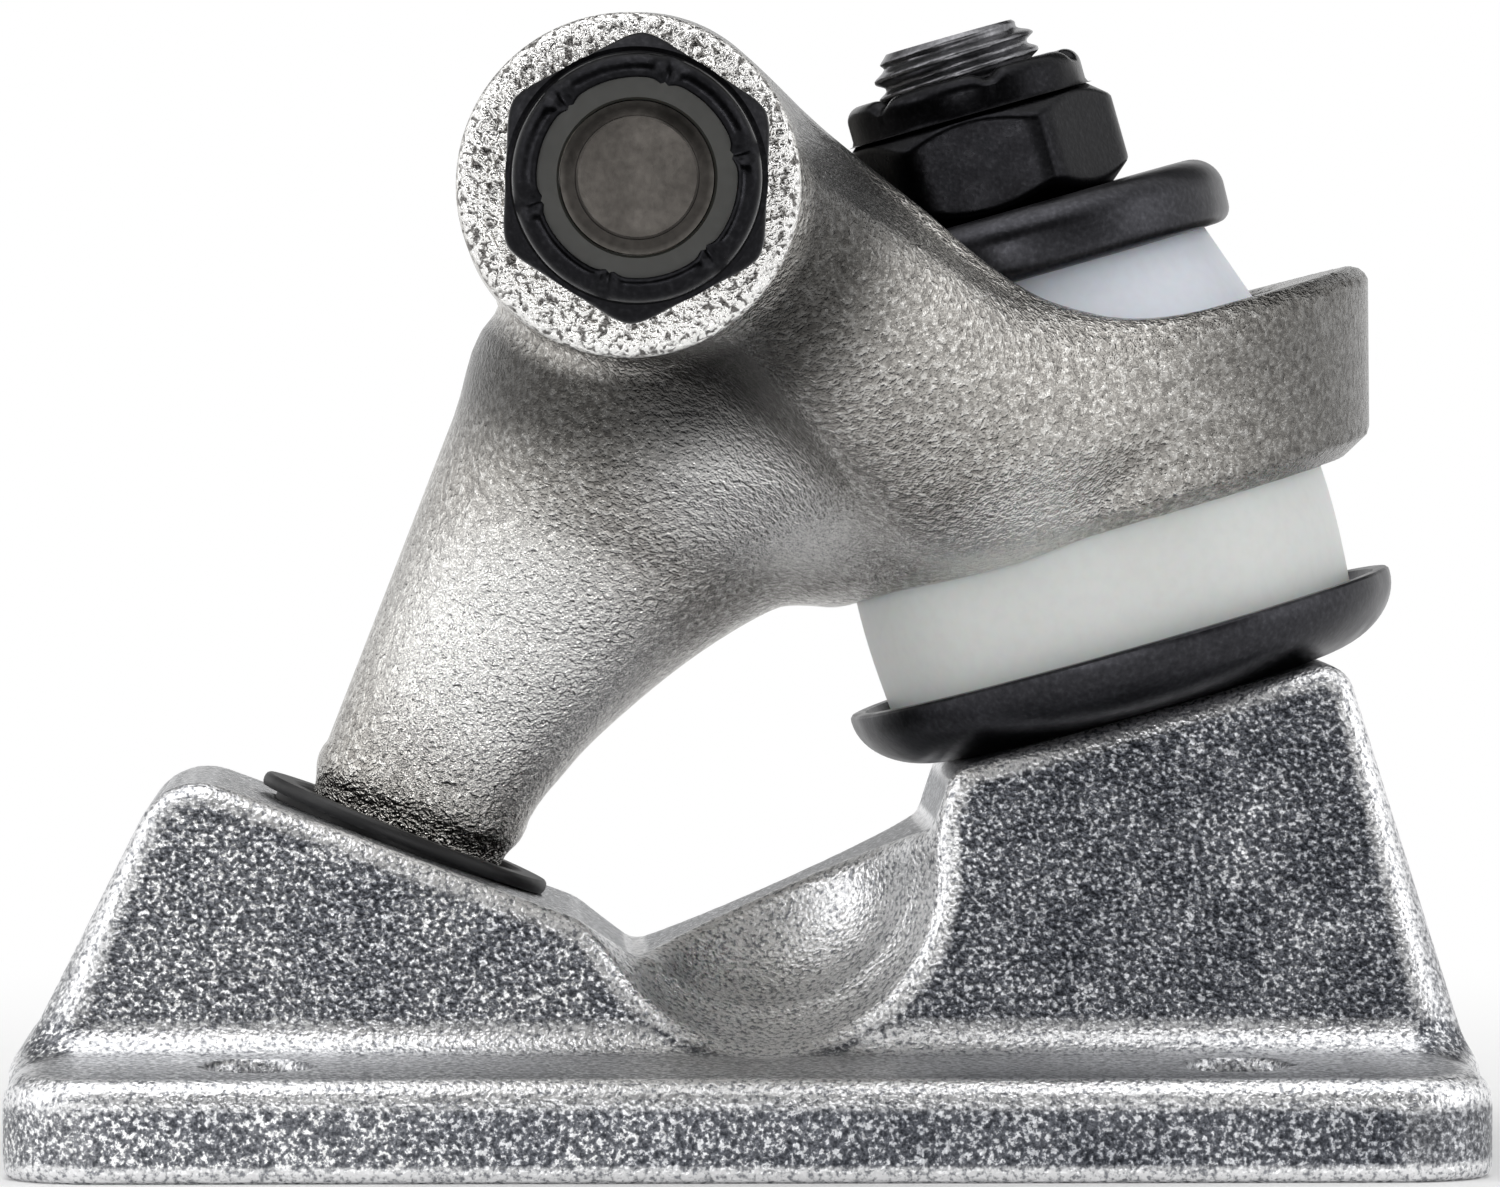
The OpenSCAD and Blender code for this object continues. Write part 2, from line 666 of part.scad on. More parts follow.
// Cast aluminium hanger
module hanger() {
    washer_stop = t_washer_top + 1;
    socket_r = kingpin_nut_af / 2 / cos(30) + socket_gap;
    color("Silver")
    difference() {
        union() {
            body();
            arms();
            ring();
            saddle();
            nose();
            on_axle(-hanger_w / 2, 1) {
                cylinder(r1 = barrel_r - barrel_chamfer, r2 = barrel_r, h = barrel_chamfer);
                translate([0, 0, barrel_chamfer]) cylinder(r = barrel_r, h = hanger_w - 2 * barrel_chamfer);
                translate([0, 0, hanger_w - barrel_chamfer])
                    cylinder(r1 = barrel_r, r2 = barrel_r - barrel_chamfer, h = barrel_chamfer);
            }
        }
        on_axle(-hanger_w / 2 - past, 1) cylinder(d = core_d, h = hanger_w + 2 * past);
        on_kingpin(t_ring_low - 2 * past) cylinder(r = seat_r, h = seat_depth + 2 * past);
        on_kingpin(t_upper) cylinder(r = seat_r, h = upper_seat_depth + past);
        on_kingpin(t_ring_low) cylinder(d = ring_bore_d, h = t_ring_high - t_ring_low);
        slot_cut(upper_rim_r + pocket_gap, pocket_lean, t_ring_high, washer_stop);
        slot_cut(socket_r, pocket_lean, t_ring_high, t_tip + 10);
    }
}

// Axle rod: pressed core, bearing seats and threaded ends
module axle() {
    color("SlateGray")
    union() {
        on_axle(-hanger_w / 2, 1) cylinder(d = core_d, h = hanger_w);
        for (s = [-1, 1]) {
            on_axle(hanger_w / 2, s) cylinder(d = axle_d, h = thread_start - hanger_w / 2);
            on_axle(thread_start, s) cylinder(r = thread_r, h = thread_l - axle_chamfer);
            on_axle(axle_end - axle_chamfer, s)
                cylinder(r1 = thread_r, r2 = thread_r - axle_chamfer, h = axle_chamfer);
        }
    }
}

module axle_nut(side) {
    color("DimGray")
    on_axle(nut_face_y, side) rotate([0, 0, axle_nut_turn])
        lock_nut(axle_nut_af, axle_nut_h, axle_collar_h, thread_r + thread_gap);
}

module axle_nut_insert(side) {
    color("OliveDrab")
    on_axle(nut_face_y, side)
        lock_insert(axle_nut_af, axle_nut_h, axle_collar_h, thread_r + thread_gap);
}

// Speed washer number i from the nut
module speed_washer(side, i) {
    color("LightGray")
    on_axle(nut_face_y - i * speed_washer_t, side)
    difference() {
        cylinder(d = speed_washer_d, h = speed_washer_t);
        translate([0, 0, -past]) cylinder(r = axle_d / 2 + speed_washer_gap, h = speed_washer_t + 2 * past);
    }
}

baseplate();
pivot_cup();
kingpin();
lower_cup_washer();
lower_bushing();
upper_bushing();
upper_cup_washer();
kingpin_nut();
kingpin_nut_insert();
hanger();
axle();
axle_nut(-1);  // axle_nut_front
axle_nut_insert(-1);  // axle_nut_front_insert
axle_nut(1);  // axle_nut_back
axle_nut_insert(1);  // axle_nut_back_insert
speed_washer(-1, 2);  // speed_washer_front_inner
speed_washer(-1, 1);  // speed_washer_front_outer
speed_washer(1, 2);  // speed_washer_back_inner
speed_washer(1, 1);  // speed_washer_back_outer
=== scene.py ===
"""Looks of a cast skateboard truck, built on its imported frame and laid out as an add-on."""

import math

import bmesh
import bpy
import numpy as np
from bpy.props import FloatProperty, FloatVectorProperty, IntProperty, PointerProperty
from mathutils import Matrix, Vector


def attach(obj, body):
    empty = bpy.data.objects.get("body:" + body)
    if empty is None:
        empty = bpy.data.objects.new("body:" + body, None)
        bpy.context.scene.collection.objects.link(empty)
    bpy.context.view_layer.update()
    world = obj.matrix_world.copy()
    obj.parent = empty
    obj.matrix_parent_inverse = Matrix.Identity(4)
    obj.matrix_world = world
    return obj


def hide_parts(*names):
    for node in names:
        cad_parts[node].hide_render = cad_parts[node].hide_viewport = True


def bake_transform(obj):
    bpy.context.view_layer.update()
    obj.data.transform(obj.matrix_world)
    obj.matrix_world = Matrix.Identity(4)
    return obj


bl_info = {
    "name": "Skateboard Truck",
    "version": (1, 0, 0),
    "blender": (4, 5, 0),
    "location": "View3D > Sidebar > Truck",
    "description": "Builds the castings, bushings and fasteners of a skateboard truck",
    "category": "Add Mesh",
}

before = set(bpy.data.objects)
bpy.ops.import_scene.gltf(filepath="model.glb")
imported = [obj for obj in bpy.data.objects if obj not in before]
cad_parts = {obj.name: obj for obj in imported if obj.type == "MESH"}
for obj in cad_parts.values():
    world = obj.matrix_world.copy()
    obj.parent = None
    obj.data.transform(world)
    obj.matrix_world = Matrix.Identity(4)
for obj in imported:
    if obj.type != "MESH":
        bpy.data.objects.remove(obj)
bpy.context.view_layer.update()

# Shapes are worked out in millimetres and put into the meshes in metres
MM = 0.001

# Places in the middle plane: a point, and how far its own upright axis leans towards +X
PIVOT = np.array([-18.9, 0.0, 18.4])
PIVOT_LEAN = math.radians(21.7)
KINGPIN = np.array([22.6, 0.0, 25.2])
KINGPIN_LEAN = math.radians(-15.8)
AXLE = np.array([-7.1, 0.0, 54.1])

# Heights up the kingpin from its seat on the base plate
WASHER_T = 1.9
RING_LOW = 10.5
RING_FLOOR = 14.0
UPPER_SEAT = 17.2
RING_HIGH = 20.8
UPPER_TOP = 27.2
WASHER_TOP = 29.1
TIP = 39.5
HEAD_LOW = -23.3
HEAD_TOP = -17.1

# Sizes across the kingpin
KINGPIN_R = 4.75
KINGPIN_FLATS = 14.29
KINGPIN_THREAD_DEEP = 0.52
HOLE_R = 4.87
SEAT_R = 14.0

# Along the axle from the middle of the hanger
HANGER_HALF = 66.5
THREAD_START = 91.3
NUT_FACE = 94.4
AXLE_END = 101.5

# Sizes across the axle
JOURNAL_R = 3.97
CORE_R = 4.15
THREAD_R = 3.72
THREAD_DEEP = 0.42
AXLE_FLATS = 12.7
BARREL_R = 8.85

# Base plate, its scoops, its holes and the pivot's cup
PLATE_X = 41.0
PLATE_Y = 27.5
PLATE_T = 5.6
PLATE_CORNER = 5.5
PLATE_CROWN = 0.9
BLOCK_FOOT = 15.5
BLOCK_TOP = 12.5
BLOCK_HIGH = 19.6
BLOCK_LEAN = 0.9885  # cosine of the lean of the blocks' sides
SCOOP = np.array([1.1, 13.77, 16.9])
MOUTH_R = 10.25
BOWL_R = 8.4
BOLT_X = 26.99
BOLT_Y = 20.64
BOLT_R = 2.75
CUP_R = 7.6
CUP_DEEP = 11.9

# Crimp marks on the lock nuts: degrees back from a corner, width in degrees, depth inwards and down
CRIMP_AT = 14
CRIMP_WIDE = 5.2
CRIMP_IN = 0.28
CRIMP_DOWN = 0.5

# Painted highlights on the hanger: each place, and how far it reaches
PAINTED_HIGHLIGHTS = (
    (np.array([-12.5, 7.0, 28.0]), 11.5),
    (np.array([13.5, 16.0, 38.5]), 8.0),
    (np.array([2.0, 13.0, 39.5]), 10.5),
)

# Kinds of shader node that the materials use often
BUMP = "ShaderNodeBump"
MATH = "ShaderNodeMath"
MIX = "ShaderNodeMix"
NOISE = "ShaderNodeTexNoise"
RAMP = "ShaderNodeValToRGB"
RANGE = "ShaderNodeMapRange"
SPLIT = "ShaderNodeSeparateXYZ"
VECTOR = "ShaderNodeVectorMath"


def srgb(code):
    """Linear colour of an sRGB hex code: each channel through the sRGB curve."""
    channel = np.array([int(code[i:i + 2], 16) for i in (1, 3, 5)]) / 255
    return tuple(np.where(channel <= 0.04045, channel / 12.92, ((channel + 0.055) / 1.055) ** 2.4))


def mix(a, b, f):
    """A straight step from a to b at share f."""
    return a + (b - a) * f


def ease(v, low, high):
    """0 below low, 1 above high and a smooth cubic step between them."""
    f = np.clip((v - low) / (high - low), 0, 1)
    return f * f * (3 - 2 * f)


def leaning(angle):
    """Turn about Y that leans the upright axis towards +X by angle."""
    c, s = math.cos(angle), math.sin(angle)
    return np.array([[c, 0, s], [0, 1, 0], [-s, 0, c]])


def into(origin, angle, x, z):
    """Sideways and upright distances of points from an origin whose upright axis leans by angle."""
    c, s = math.cos(angle), math.sin(angle)
    return c * (x - origin[0]) - s * (z - origin[2]), s * (x - origin[0]) + c * (z - origin[2])


def out_of(origin, angle, r, t):
    """Point of the middle plane (x, z) that lies r sideways and t up a leaning axis."""
    c, s = math.cos(angle), math.sin(angle)
    return np.array([origin[0] + c * r + s * t, origin[2] - s * r + c * t])


def at_kingpin(r, t):
    """Point of the middle plane, r in front of the kingpin's axis and t up it."""
    return out_of(KINGPIN, KINGPIN_LEAN, r, t)


def at_pivot(r, t):
    """Point of the middle plane, r in front of the pivot's axis and t up it."""
    return out_of(PIVOT, PIVOT_LEAN, r, t)


def rounded(corners, steps=6):
    """Outline whose corners (u, v, radius) become arcs: each centre lies on the corner's bisector."""
    found = []
    count = len(corners)
    for i, (u, v, radius) in enumerate(corners):
        b = np.array([u, v])
        if radius == 0:
            found.append(b[None])
            continue
        a = np.array(corners[i - 1][:2]) - b
        c = np.array(corners[(i + 1) % count][:2]) - b
        a, c = a / np.linalg.norm(a), c / np.linalg.norm(c)
        half = math.acos(np.clip(a @ c, -1, 1)) / 2
        middle = b + (a + c) / np.linalg.norm(a + c) * radius / math.sin(half)
        share = np.linspace(0, 1, steps)[:, None]
        ray = mix(b + a * radius / math.tan(half), b + c * radius / math.tan(half), share) - middle
        found.append(middle + radius * ray / np.linalg.norm(ray, axis=1, keepdims=True))
    return np.concatenate(found)


def smooth_run(stations, steps=5):
    """Catmull-Rom curve through stations, as whole arrays for every span at once."""
    p = np.array(stations, float)
    a = np.concatenate([p[:1], p[:-2]])
    b, c = p[:-1], p[1:]
    d = np.concatenate([p[2:], p[-1:]])
    f = (np.arange(steps) / steps)[:, None, None]
    curve = 2 * b + (c - a) * f + (2 * a - 5 * b + 4 * c - d) * f ** 2 + (3 * b - a - 3 * c + d) * f ** 3
    return np.concatenate([(curve / 2).transpose(1, 0, 2).reshape(-1, p.shape[1]), p[-1:]])


def outline_distance(u, v, outline):
    """Distance of points to a closed outline, negative inside.

    The nearest point of each edge gives the distance, and an odd number of edges crossed to one side
    gives the sign."""
    nearest = np.inf
    inside = False
    for a, b in zip(outline, np.roll(outline, -1, axis=0)):
        e = b - a
        du, dv = u - a[0], v - a[1]
        share = np.clip((du * e[0] + dv * e[1]) / max(e @ e, 1e-12), 0, 1)
        nearest = np.minimum(nearest, (du - share * e[0]) ** 2 + (dv - share * e[1]) ** 2)
        if abs(e[1]) > 1e-9:
            inside = inside ^ (((a[1] > v) != (b[1] > v)) & (du < e[0] * dv / e[1]))
    return np.where(inside, -1, 1) * np.sqrt(nearest)


def both(a, b, radius):
    """Distance to what two solids share, its outer edge rounded to radius."""
    corner = np.hypot(np.maximum(a + radius, 0), np.maximum(b + radius, 0))
    return np.minimum(-radius, np.maximum(a, b)) + corner


def either(a, b, radius):
    """Distance to two solids together, the inner corner between them filled to radius."""
    corner = np.hypot(np.maximum(radius - a, 0), np.maximum(radius - b, 0))
    return np.maximum(radius, np.minimum(a, b)) - corner


def melted(a, b, reach):
    """The lesser of two distances or radii, rounded off where they change over within reach.

    Two solids flow into each other this way."""
    near = np.maximum(reach - np.abs(a - b), 0) / reach
    return np.minimum(a, b) - near * near * reach / 4


def cast_skin(field, low, high, step):
    """Closed quads where a distance field is zero.

    Each grid cell that the surface crosses holds one point, the mean of the crossings on its edges, and
    each crossed grid edge joins the points of its four cells. Three Newton steps along the field's slope
    then lay the points on the surface."""
    low = np.array(low, float)
    axes = [np.arange(a, b + step, step, dtype=np.float32) for a, b in zip(low, high)]
    value = field(*np.meshgrid(*axes, indexing="ij", sparse=True))
    inside = value < 0
    cells_n = np.array(value.shape) - 1
    corners = [np.array(c) for c in np.ndindex(2, 2, 2)]
    count = np.zeros(cells_n, np.int8)
    for corner in corners:
        count += inside[tuple(slice(c, c + n) for c, n in zip(corner, cells_n))]
    cells = np.argwhere((count > 0) & (count < 8))
    index = np.full(cells_n, -1)
    index[tuple(cells.T)] = np.arange(len(cells))
    total = np.zeros((len(cells), 3))
    crossed = np.zeros((len(cells), 1))
    faces = []
    for axis in range(3):
        along = np.eye(3, dtype=int)[axis]
        for corner in corners:
            if corner[axis]:
                continue
            first = value[tuple((cells + corner).T)].astype(float)
            last = value[tuple((cells + corner + along).T)].astype(float)
            cut = (first < 0) != (last < 0)
            share = np.where(cut, first / np.where(cut, first - last, 1), 0)
            total += cut[:, None] * (corner + share[:, None] * along)
            crossed += cut[:, None]
        up, over = np.eye(3, dtype=int)[(axis + 1) % 3], np.eye(3, dtype=int)[(axis + 2) % 3]
        start = np.moveaxis(inside, axis, 0)
        edges = np.argwhere(np.moveaxis(start[:-1] != start[1:], 0, axis))
        quads = np.stack([index[tuple((edges - a).T)] for a in (up + over, over, 0 * up, up)], axis=1)
        outward = inside[tuple(edges.T)]
        faces.append(np.where(outward[:, None], quads, quads[:, ::-1]))
    points = low + step * (cells + total / crossed)
    nudge = 0.04 * step
    for _ in range(3):
        x, y, z = points.T
        here = field(x, y, z)
        slope = np.stack([field(x + nudge, y, z), field(x, y + nudge, z), field(x, y, z + nudge)], axis=1)
        slope = (slope - here[:, None]) / nudge
        move = here[:, None] * slope / np.maximum((slope ** 2).sum(1, keepdims=True), 0.05)
        points = points - np.clip(move, -0.4 * step, 0.4 * step)
    return points, np.concatenate(faces)


def edge_wear(field, points, reach):
    """How sharply a casting turns at each point: the field's second differences over reach, 0 on a flat."""
    x, y, z = points.T
    bend = -6 * field(x, y, z)
    for step in np.eye(3) * reach:
        bend = bend + field(x + step[0], y + step[1], z + step[2])
        bend = bend + field(x - step[0], y - step[1], z - step[2])
    return np.clip(np.abs(bend) / reach ** 2, 0, 1)


def turned_skin(radius, height, closed):
    """Quads of a turned piece: a point at each angle and station, at that radius and height.

    The angle runs round the axis by rows and the profile by columns, anticlockwise round the metal, so the
    faces look outwards. A closed profile joins its last station to its first."""
    radius, height = np.broadcast_arrays(radius, height)
    turns, stations = radius.shape
    angle = np.arange(turns)[:, None] * 2 * np.pi / turns
    points = np.stack([radius * np.cos(angle), radius * np.sin(angle), height], axis=-1).reshape(-1, 3)
    i = np.arange(turns)[:, None]
    j = np.arange(stations if closed else stations - 1)[None]
    nxt, far = (j + 1) % stations, (i + 1) % turns * stations
    quads = np.stack([i * stations + j, far + j, far + nxt, i * stations + nxt], axis=-1)
    return points, quads.reshape(-1, 4)


def arc(r, t, size_r, size_t, start, end, steps=8):
    """Points (radius, height) of an elliptic arc about (r, t) from angle start to end, in degrees."""
    a = np.radians(np.linspace(start, end, steps))
    return np.stack([r + size_r * np.cos(a), t + size_t * np.sin(a)], axis=1)


def profile(*parts):
    """One list of (radius, height) stations from points and arcs in order."""
    return np.concatenate([np.atleast_2d(np.array(part, float)) for part in parts])


def make_piece(name, points, faces, material, sharp=None, wear_and_light=None):
    """Mesh object at the origin from points in millimetres and quads; edges past angle sharp stay crisp.

    wear, if given, becomes the point attribute that a casting's metal reads."""
    mesh = bpy.data.meshes.new(name)
    mesh.vertices.add(len(points))
    mesh.vertices.foreach_set("co", (points * MM).astype(np.float32).ravel())
    mesh.loops.add(faces.size)
    mesh.loops.foreach_set("vertex_index", faces.astype(np.int32).ravel())
    mesh.polygons.add(len(faces))
    mesh.polygons.foreach_set("loop_start", np.arange(0, faces.size, 4, dtype=np.int32))
    mesh.update(calc_edges=True)
    mesh.shade_smooth()
    if sharp is not None:
        mesh.set_sharp_from_angle(angle=math.radians(sharp))
    if wear_and_light is not None:
        mesh.attributes.new("wear_and_light", "FLOAT", "POINT").data.foreach_set("value", wear_and_light.astype(np.float32))
    mesh.materials.append(material)
    piece = bpy.data.objects.new(name, mesh)
    bpy.context.scene.collection.objects.link(piece)
    return piece


def make_turned(name, stations, place, material, closed=True, turns=128, turn=0.0, sharp=32):
    """Turned piece in place, from stations (radius, height) or from arrays of both by angle and station.

    place is (origin, rotation), and turn rotates the piece about its own axis."""
    origin, rotation = place
    if isinstance(stations, tuple):
        radius, height = stations
    else:
        radius, height = stations[None, :, 0], stations[None, :, 1]
    rows = np.ones((turns if radius.shape[0] == 1 else radius.shape[0], 1))
    points, faces = turned_skin(radius * rows, height * rows, closed)
    c, s = math.cos(turn), math.sin(turn)
    points = points @ np.array([[c, s, 0], [-s, c, 0], [0, 0, 1]])
    piece = make_piece(name, points @ rotation.T + origin, faces, material, sharp)
    if not closed:
        close_poles(piece, sharp)
    return piece


def close_poles(piece, sharp):
    """Merge the points that meet on the axis at both ends of a solid turned piece."""
    work = bmesh.new()
    work.from_mesh(piece.data)
    bmesh.ops.remove_doubles(work, verts=work.verts, dist=1e-7)
    work.to_mesh(piece.data)
    work.free()
    piece.data.shade_smooth()
    piece.data.set_sharp_from_angle(angle=math.radians(sharp))


ON_KINGPIN = (KINGPIN, leaning(KINGPIN_LEAN))
ON_PIVOT = (PIVOT, leaning(PIVOT_LEAN))


def on_axle(y, side):
    """Place on the axle at distance y from the middle: side -1 is the front and looks at the viewer."""
    rotation = np.array([[1, 0, 0], [0, 0, side], [0, -side, 0]], float)
    return AXLE + np.array([0, side * y, 0]), rotation


def node(tree, kind, inputs=None, stops=None, **settings):
    """Add one shader node, set its properties and a ramp's stops, and link or set its inputs."""
    made = tree.nodes.new(kind)
    for name, value in settings.items():
        setattr(made, name, value)
    for socket, source in (inputs or {}).items():
        if isinstance(source, bpy.types.NodeSocket):
            tree.links.new(source, made.inputs[socket])
        else:
            made.inputs[socket].default_value = source
    if stops:
        bar = made.color_ramp.elements
        while len(bar) < len(stops):
            bar.new(0.5)
        for element, (place, colour) in zip(bar, stops):
            element.position = place
            element.color = (*colour, 1)
    return made


def new_material(name, **uniform):
    """Material with a Principled shader whose plain values are set on its own sockets."""
    material = bpy.data.materials.new(name)
    material.use_nodes = True
    tree = material.node_tree
    shader = tree.nodes["Principled BSDF"]
    for socket, value in uniform.items():
        shader.inputs[socket.replace("_", " ")].default_value = value
    coords = node(tree, "ShaderNodeTexCoord").outputs["Object"]
    return material, tree, shader, coords


def dress(tree, shader, colour, rough, bump):
    """Link a surface's colour, roughness and bump to its shader."""
    tree.links.new(colour, shader.inputs["Base Color"])
    tree.links.new(rough.outputs["Result"], shader.inputs["Roughness"])
    tree.links.new(bump.outputs["Normal"], shader.inputs["Normal"])


def cast_base_metal(look):
    """Sand-cast aluminium: coarse bright grains on a dark slate ground.

    Where the mesh's attribute is high the metal is bright: worn at the edges, paler on the ledge, and painted
    light in the scoops and the bolt holes. Towards the pivot's end the skin is paler, a painted light."""
    material, tree, shader, coords = new_material("cast_aluminium_base", Metallic=1.0)
    per_m = 1 / look.base_grain
    grain = node(tree, NOISE, {"Vector": coords, "Scale": per_m, "Detail": 3.0, "Roughness": 0.62})
    facets = node(tree, "ShaderNodeTexVoronoi", {"Vector": coords, "Scale": per_m * 1.15})
    cloud = node(tree, NOISE, {"Vector": coords, "Scale": per_m / 14, "Detail": 2.0})
    sparkle = node(tree, RAMP, {"Fac": grain.outputs["Fac"]}, stops=[
        (0.36, srgb("#4a4c51")), (0.53, look.base_colour), (0.61, srgb("#ffffff"))])
    bright = node(tree, RAMP, {"Fac": grain.outputs["Fac"]}, stops=[
        (0.36, srgb("#8f9196")), (0.52, srgb("#f6f6f7"))])
    split = node(tree, SPLIT, {"Vector": coords})
    # Painted light: paler towards the pivot's end and a little darker towards the kingpin's end
    painted_end_light = node(tree, RANGE, {"Value": split.outputs["X"], "From Min": -0.03, "From Max": 0.012,
                              "To Min": 0.35, "To Max": -0.05})
    patch = node(tree, MATH, {0: cloud.outputs["Fac"], 1: painted_end_light.outputs["Result"]}, operation="ADD")
    tint = node(tree, RAMP, {"Fac": patch.outputs[0]}, stops=[
        (0.35, srgb("#aeb0b5")), (0.62, srgb("#e0e1e4")), (0.85, srgb("#ffffff"))])
    skin = node(tree, MIX, {"Factor": 1.0, "A": sparkle.outputs["Color"], "B": tint.outputs["Color"]},
                data_type="RGBA", blend_type="MULTIPLY")
    # The attribute holds edge wear, with painted light in the scoops and on the bolt holes' walls
    worn = node(tree, "ShaderNodeAttribute", attribute_name="wear_and_light")
    turn = node(tree, RANGE, {"Value": worn.outputs["Fac"], "From Min": 0.05, "From Max": 0.62},
                interpolation_type="SMOOTHSTEP")
    colour = node(tree, MIX, {"Factor": turn.outputs["Result"], "A": skin.outputs[2],
                              "B": bright.outputs["Color"]}, data_type="RGBA")
    height = node(tree, MIX, {"Factor": 0.35, "A": grain.outputs["Fac"], "B": facets.outputs["Distance"]})
    bump = node(tree, BUMP, {"Strength": 0.85, "Distance": look.base_grain * 0.45,
                             "Height": height.outputs["Result"]})
    rough = node(tree, RANGE, {"Value": cloud.outputs["Fac"], "To Min": 0.26, "To Max": 0.42})
    dress(tree, shader, colour.outputs[2], rough, bump)
    return material


def cast_hanger_metal(look):
    """Tumbled cast aluminium: a warmer grey with a fine wavy skin like orange peel.

    Painted shade darkens it in a band round the barrel and towards the ring's end, painted highlights lighten
    the stem and the arms, and the barrel's sawn ends are speckled white. These go by place on the piece."""
    material, tree, shader, coords = new_material("cast_aluminium_hanger", Metallic=1.0)
    per_m = 1 / look.hanger_grain
    peel = node(tree, NOISE, {"Vector": coords, "Scale": per_m, "Detail": 2.0, "Roughness": 0.5,
                              "Distortion": 0.6})
    fine = node(tree, NOISE, {"Vector": coords, "Scale": per_m * 2.6, "Detail": 1.0})
    cloud = node(tree, NOISE, {"Vector": coords, "Scale": per_m / 18, "Detail": 2.0})
    tone = node(tree, RAMP, {"Fac": peel.outputs["Fac"]}, stops=[
        (0.3, srgb("#8b8884")), (0.5, look.hanger_colour), (0.68, srgb("#dddbd7"))]).outputs["Color"]
    # Both sides of the truck share one set of places, so Y is folded over the middle plane
    place = node(tree, VECTOR, {0: coords}, operation="ABSOLUTE")
    flat = node(tree, VECTOR, {0: coords, 1: (1.0, 0.0, 1.0)}, operation="MULTIPLY")
    side = node(tree, VECTOR, {0: place.outputs[0], 1: (0.0, 1.0, 0.0)}, operation="MULTIPLY")
    folded = node(tree, VECTOR, {0: flat.outputs[0], 1: side.outputs[0]}, operation="ADD")
    # Painted shade in a band round the barrel, by distance from the axle's line
    away = node(tree, VECTOR, {0: flat.outputs[0], 1: AXLE * MM}, operation="DISTANCE")
    near = node(tree, RANGE, {"Value": away.outputs["Value"], "From Min": 0.0088, "From Max": 0.0112,
                              "To Min": 1.0, "To Max": 0.0}, interpolation_type="SMOOTHSTEP")
    clear = node(tree, RANGE, {"Value": away.outputs["Value"], "From Min": 0.0124, "From Max": 0.0185,
                               "To Min": 0.17, "To Max": 1.0}, interpolation_type="SMOOTHSTEP")
    painted_barrel_shade = node(tree, MATH, {0: near.outputs["Result"], 1: clear.outputs["Result"]}, operation="MAXIMUM")
    # Painted shade towards the ring's end, by distance in front of the kingpin
    forward = leaning(KINGPIN_LEAN)[:, 0]
    ring = KINGPIN @ forward * MM
    along = node(tree, VECTOR, {0: coords, 1: forward}, operation="DOT_PRODUCT")
    painted_ring_shade = node(tree, RANGE, {"Value": along.outputs["Value"], "From Min": ring + 0.001,
                              "From Max": ring + 0.0145, "To Min": 1.0, "To Max": 0.3},
                interpolation_type="SMOOTHSTEP")
    # Both painted shades together darken the tone
    shade = node(tree, MATH, {0: painted_barrel_shade.outputs[0], 1: painted_ring_shade.outputs["Result"]}, operation="MULTIPLY")
    # Painted highlights: near each place the tone is mixed towards near white
    for spot, reach in PAINTED_HIGHLIGHTS:
        painted_highlight = node(tree, VECTOR, {0: folded.outputs[0], 1: spot * MM}, operation="DISTANCE")
        painted_highlight = node(tree, RANGE, {"Value": painted_highlight.outputs["Value"], "From Min": 0.003,
                                    "From Max": reach * MM, "To Min": 0.85, "To Max": 0.0},
                      interpolation_type="SMOOTHSTEP")
        tone = node(tree, MIX, {"Factor": painted_highlight.outputs["Result"], "A": tone, "B": (*srgb("#f6f5f3"), 1)},
                    data_type="RGBA").outputs[2]
    shaded = node(tree, MIX, {"Factor": 1.0, "A": tone, "B": shade.outputs[0]}, data_type="RGBA",
                  blend_type="MULTIPLY")
    # Sawn ends of the barrel
    split = node(tree, SPLIT, {"Vector": folded.outputs[0]})
    end = node(tree, RANGE, {"Value": split.outputs["Y"], "From Min": 0.06585, "From Max": 0.06635})
    faced = node(tree, RAMP, {"Fac": peel.outputs["Fac"]}, stops=[
        (0.38, srgb("#6a6866")), (0.5, srgb("#f4f3f1"))])
    ended = node(tree, MIX, {"Factor": end.outputs["Result"], "A": shaded.outputs[2],
                             "B": faced.outputs["Color"]}, data_type="RGBA")
    height = node(tree, MIX, {"Factor": 0.3, "A": peel.outputs["Fac"], "B": fine.outputs["Fac"]})
    bump = node(tree, BUMP, {"Strength": 1.0, "Distance": look.hanger_grain * 0.75,
                             "Height": height.outputs["Result"]})
    rough = node(tree, RANGE, {"Value": cloud.outputs["Fac"], "To Min": 0.15, "To Max": 0.25})
    dress(tree, shader, ended.outputs[2], rough, bump)
    return material


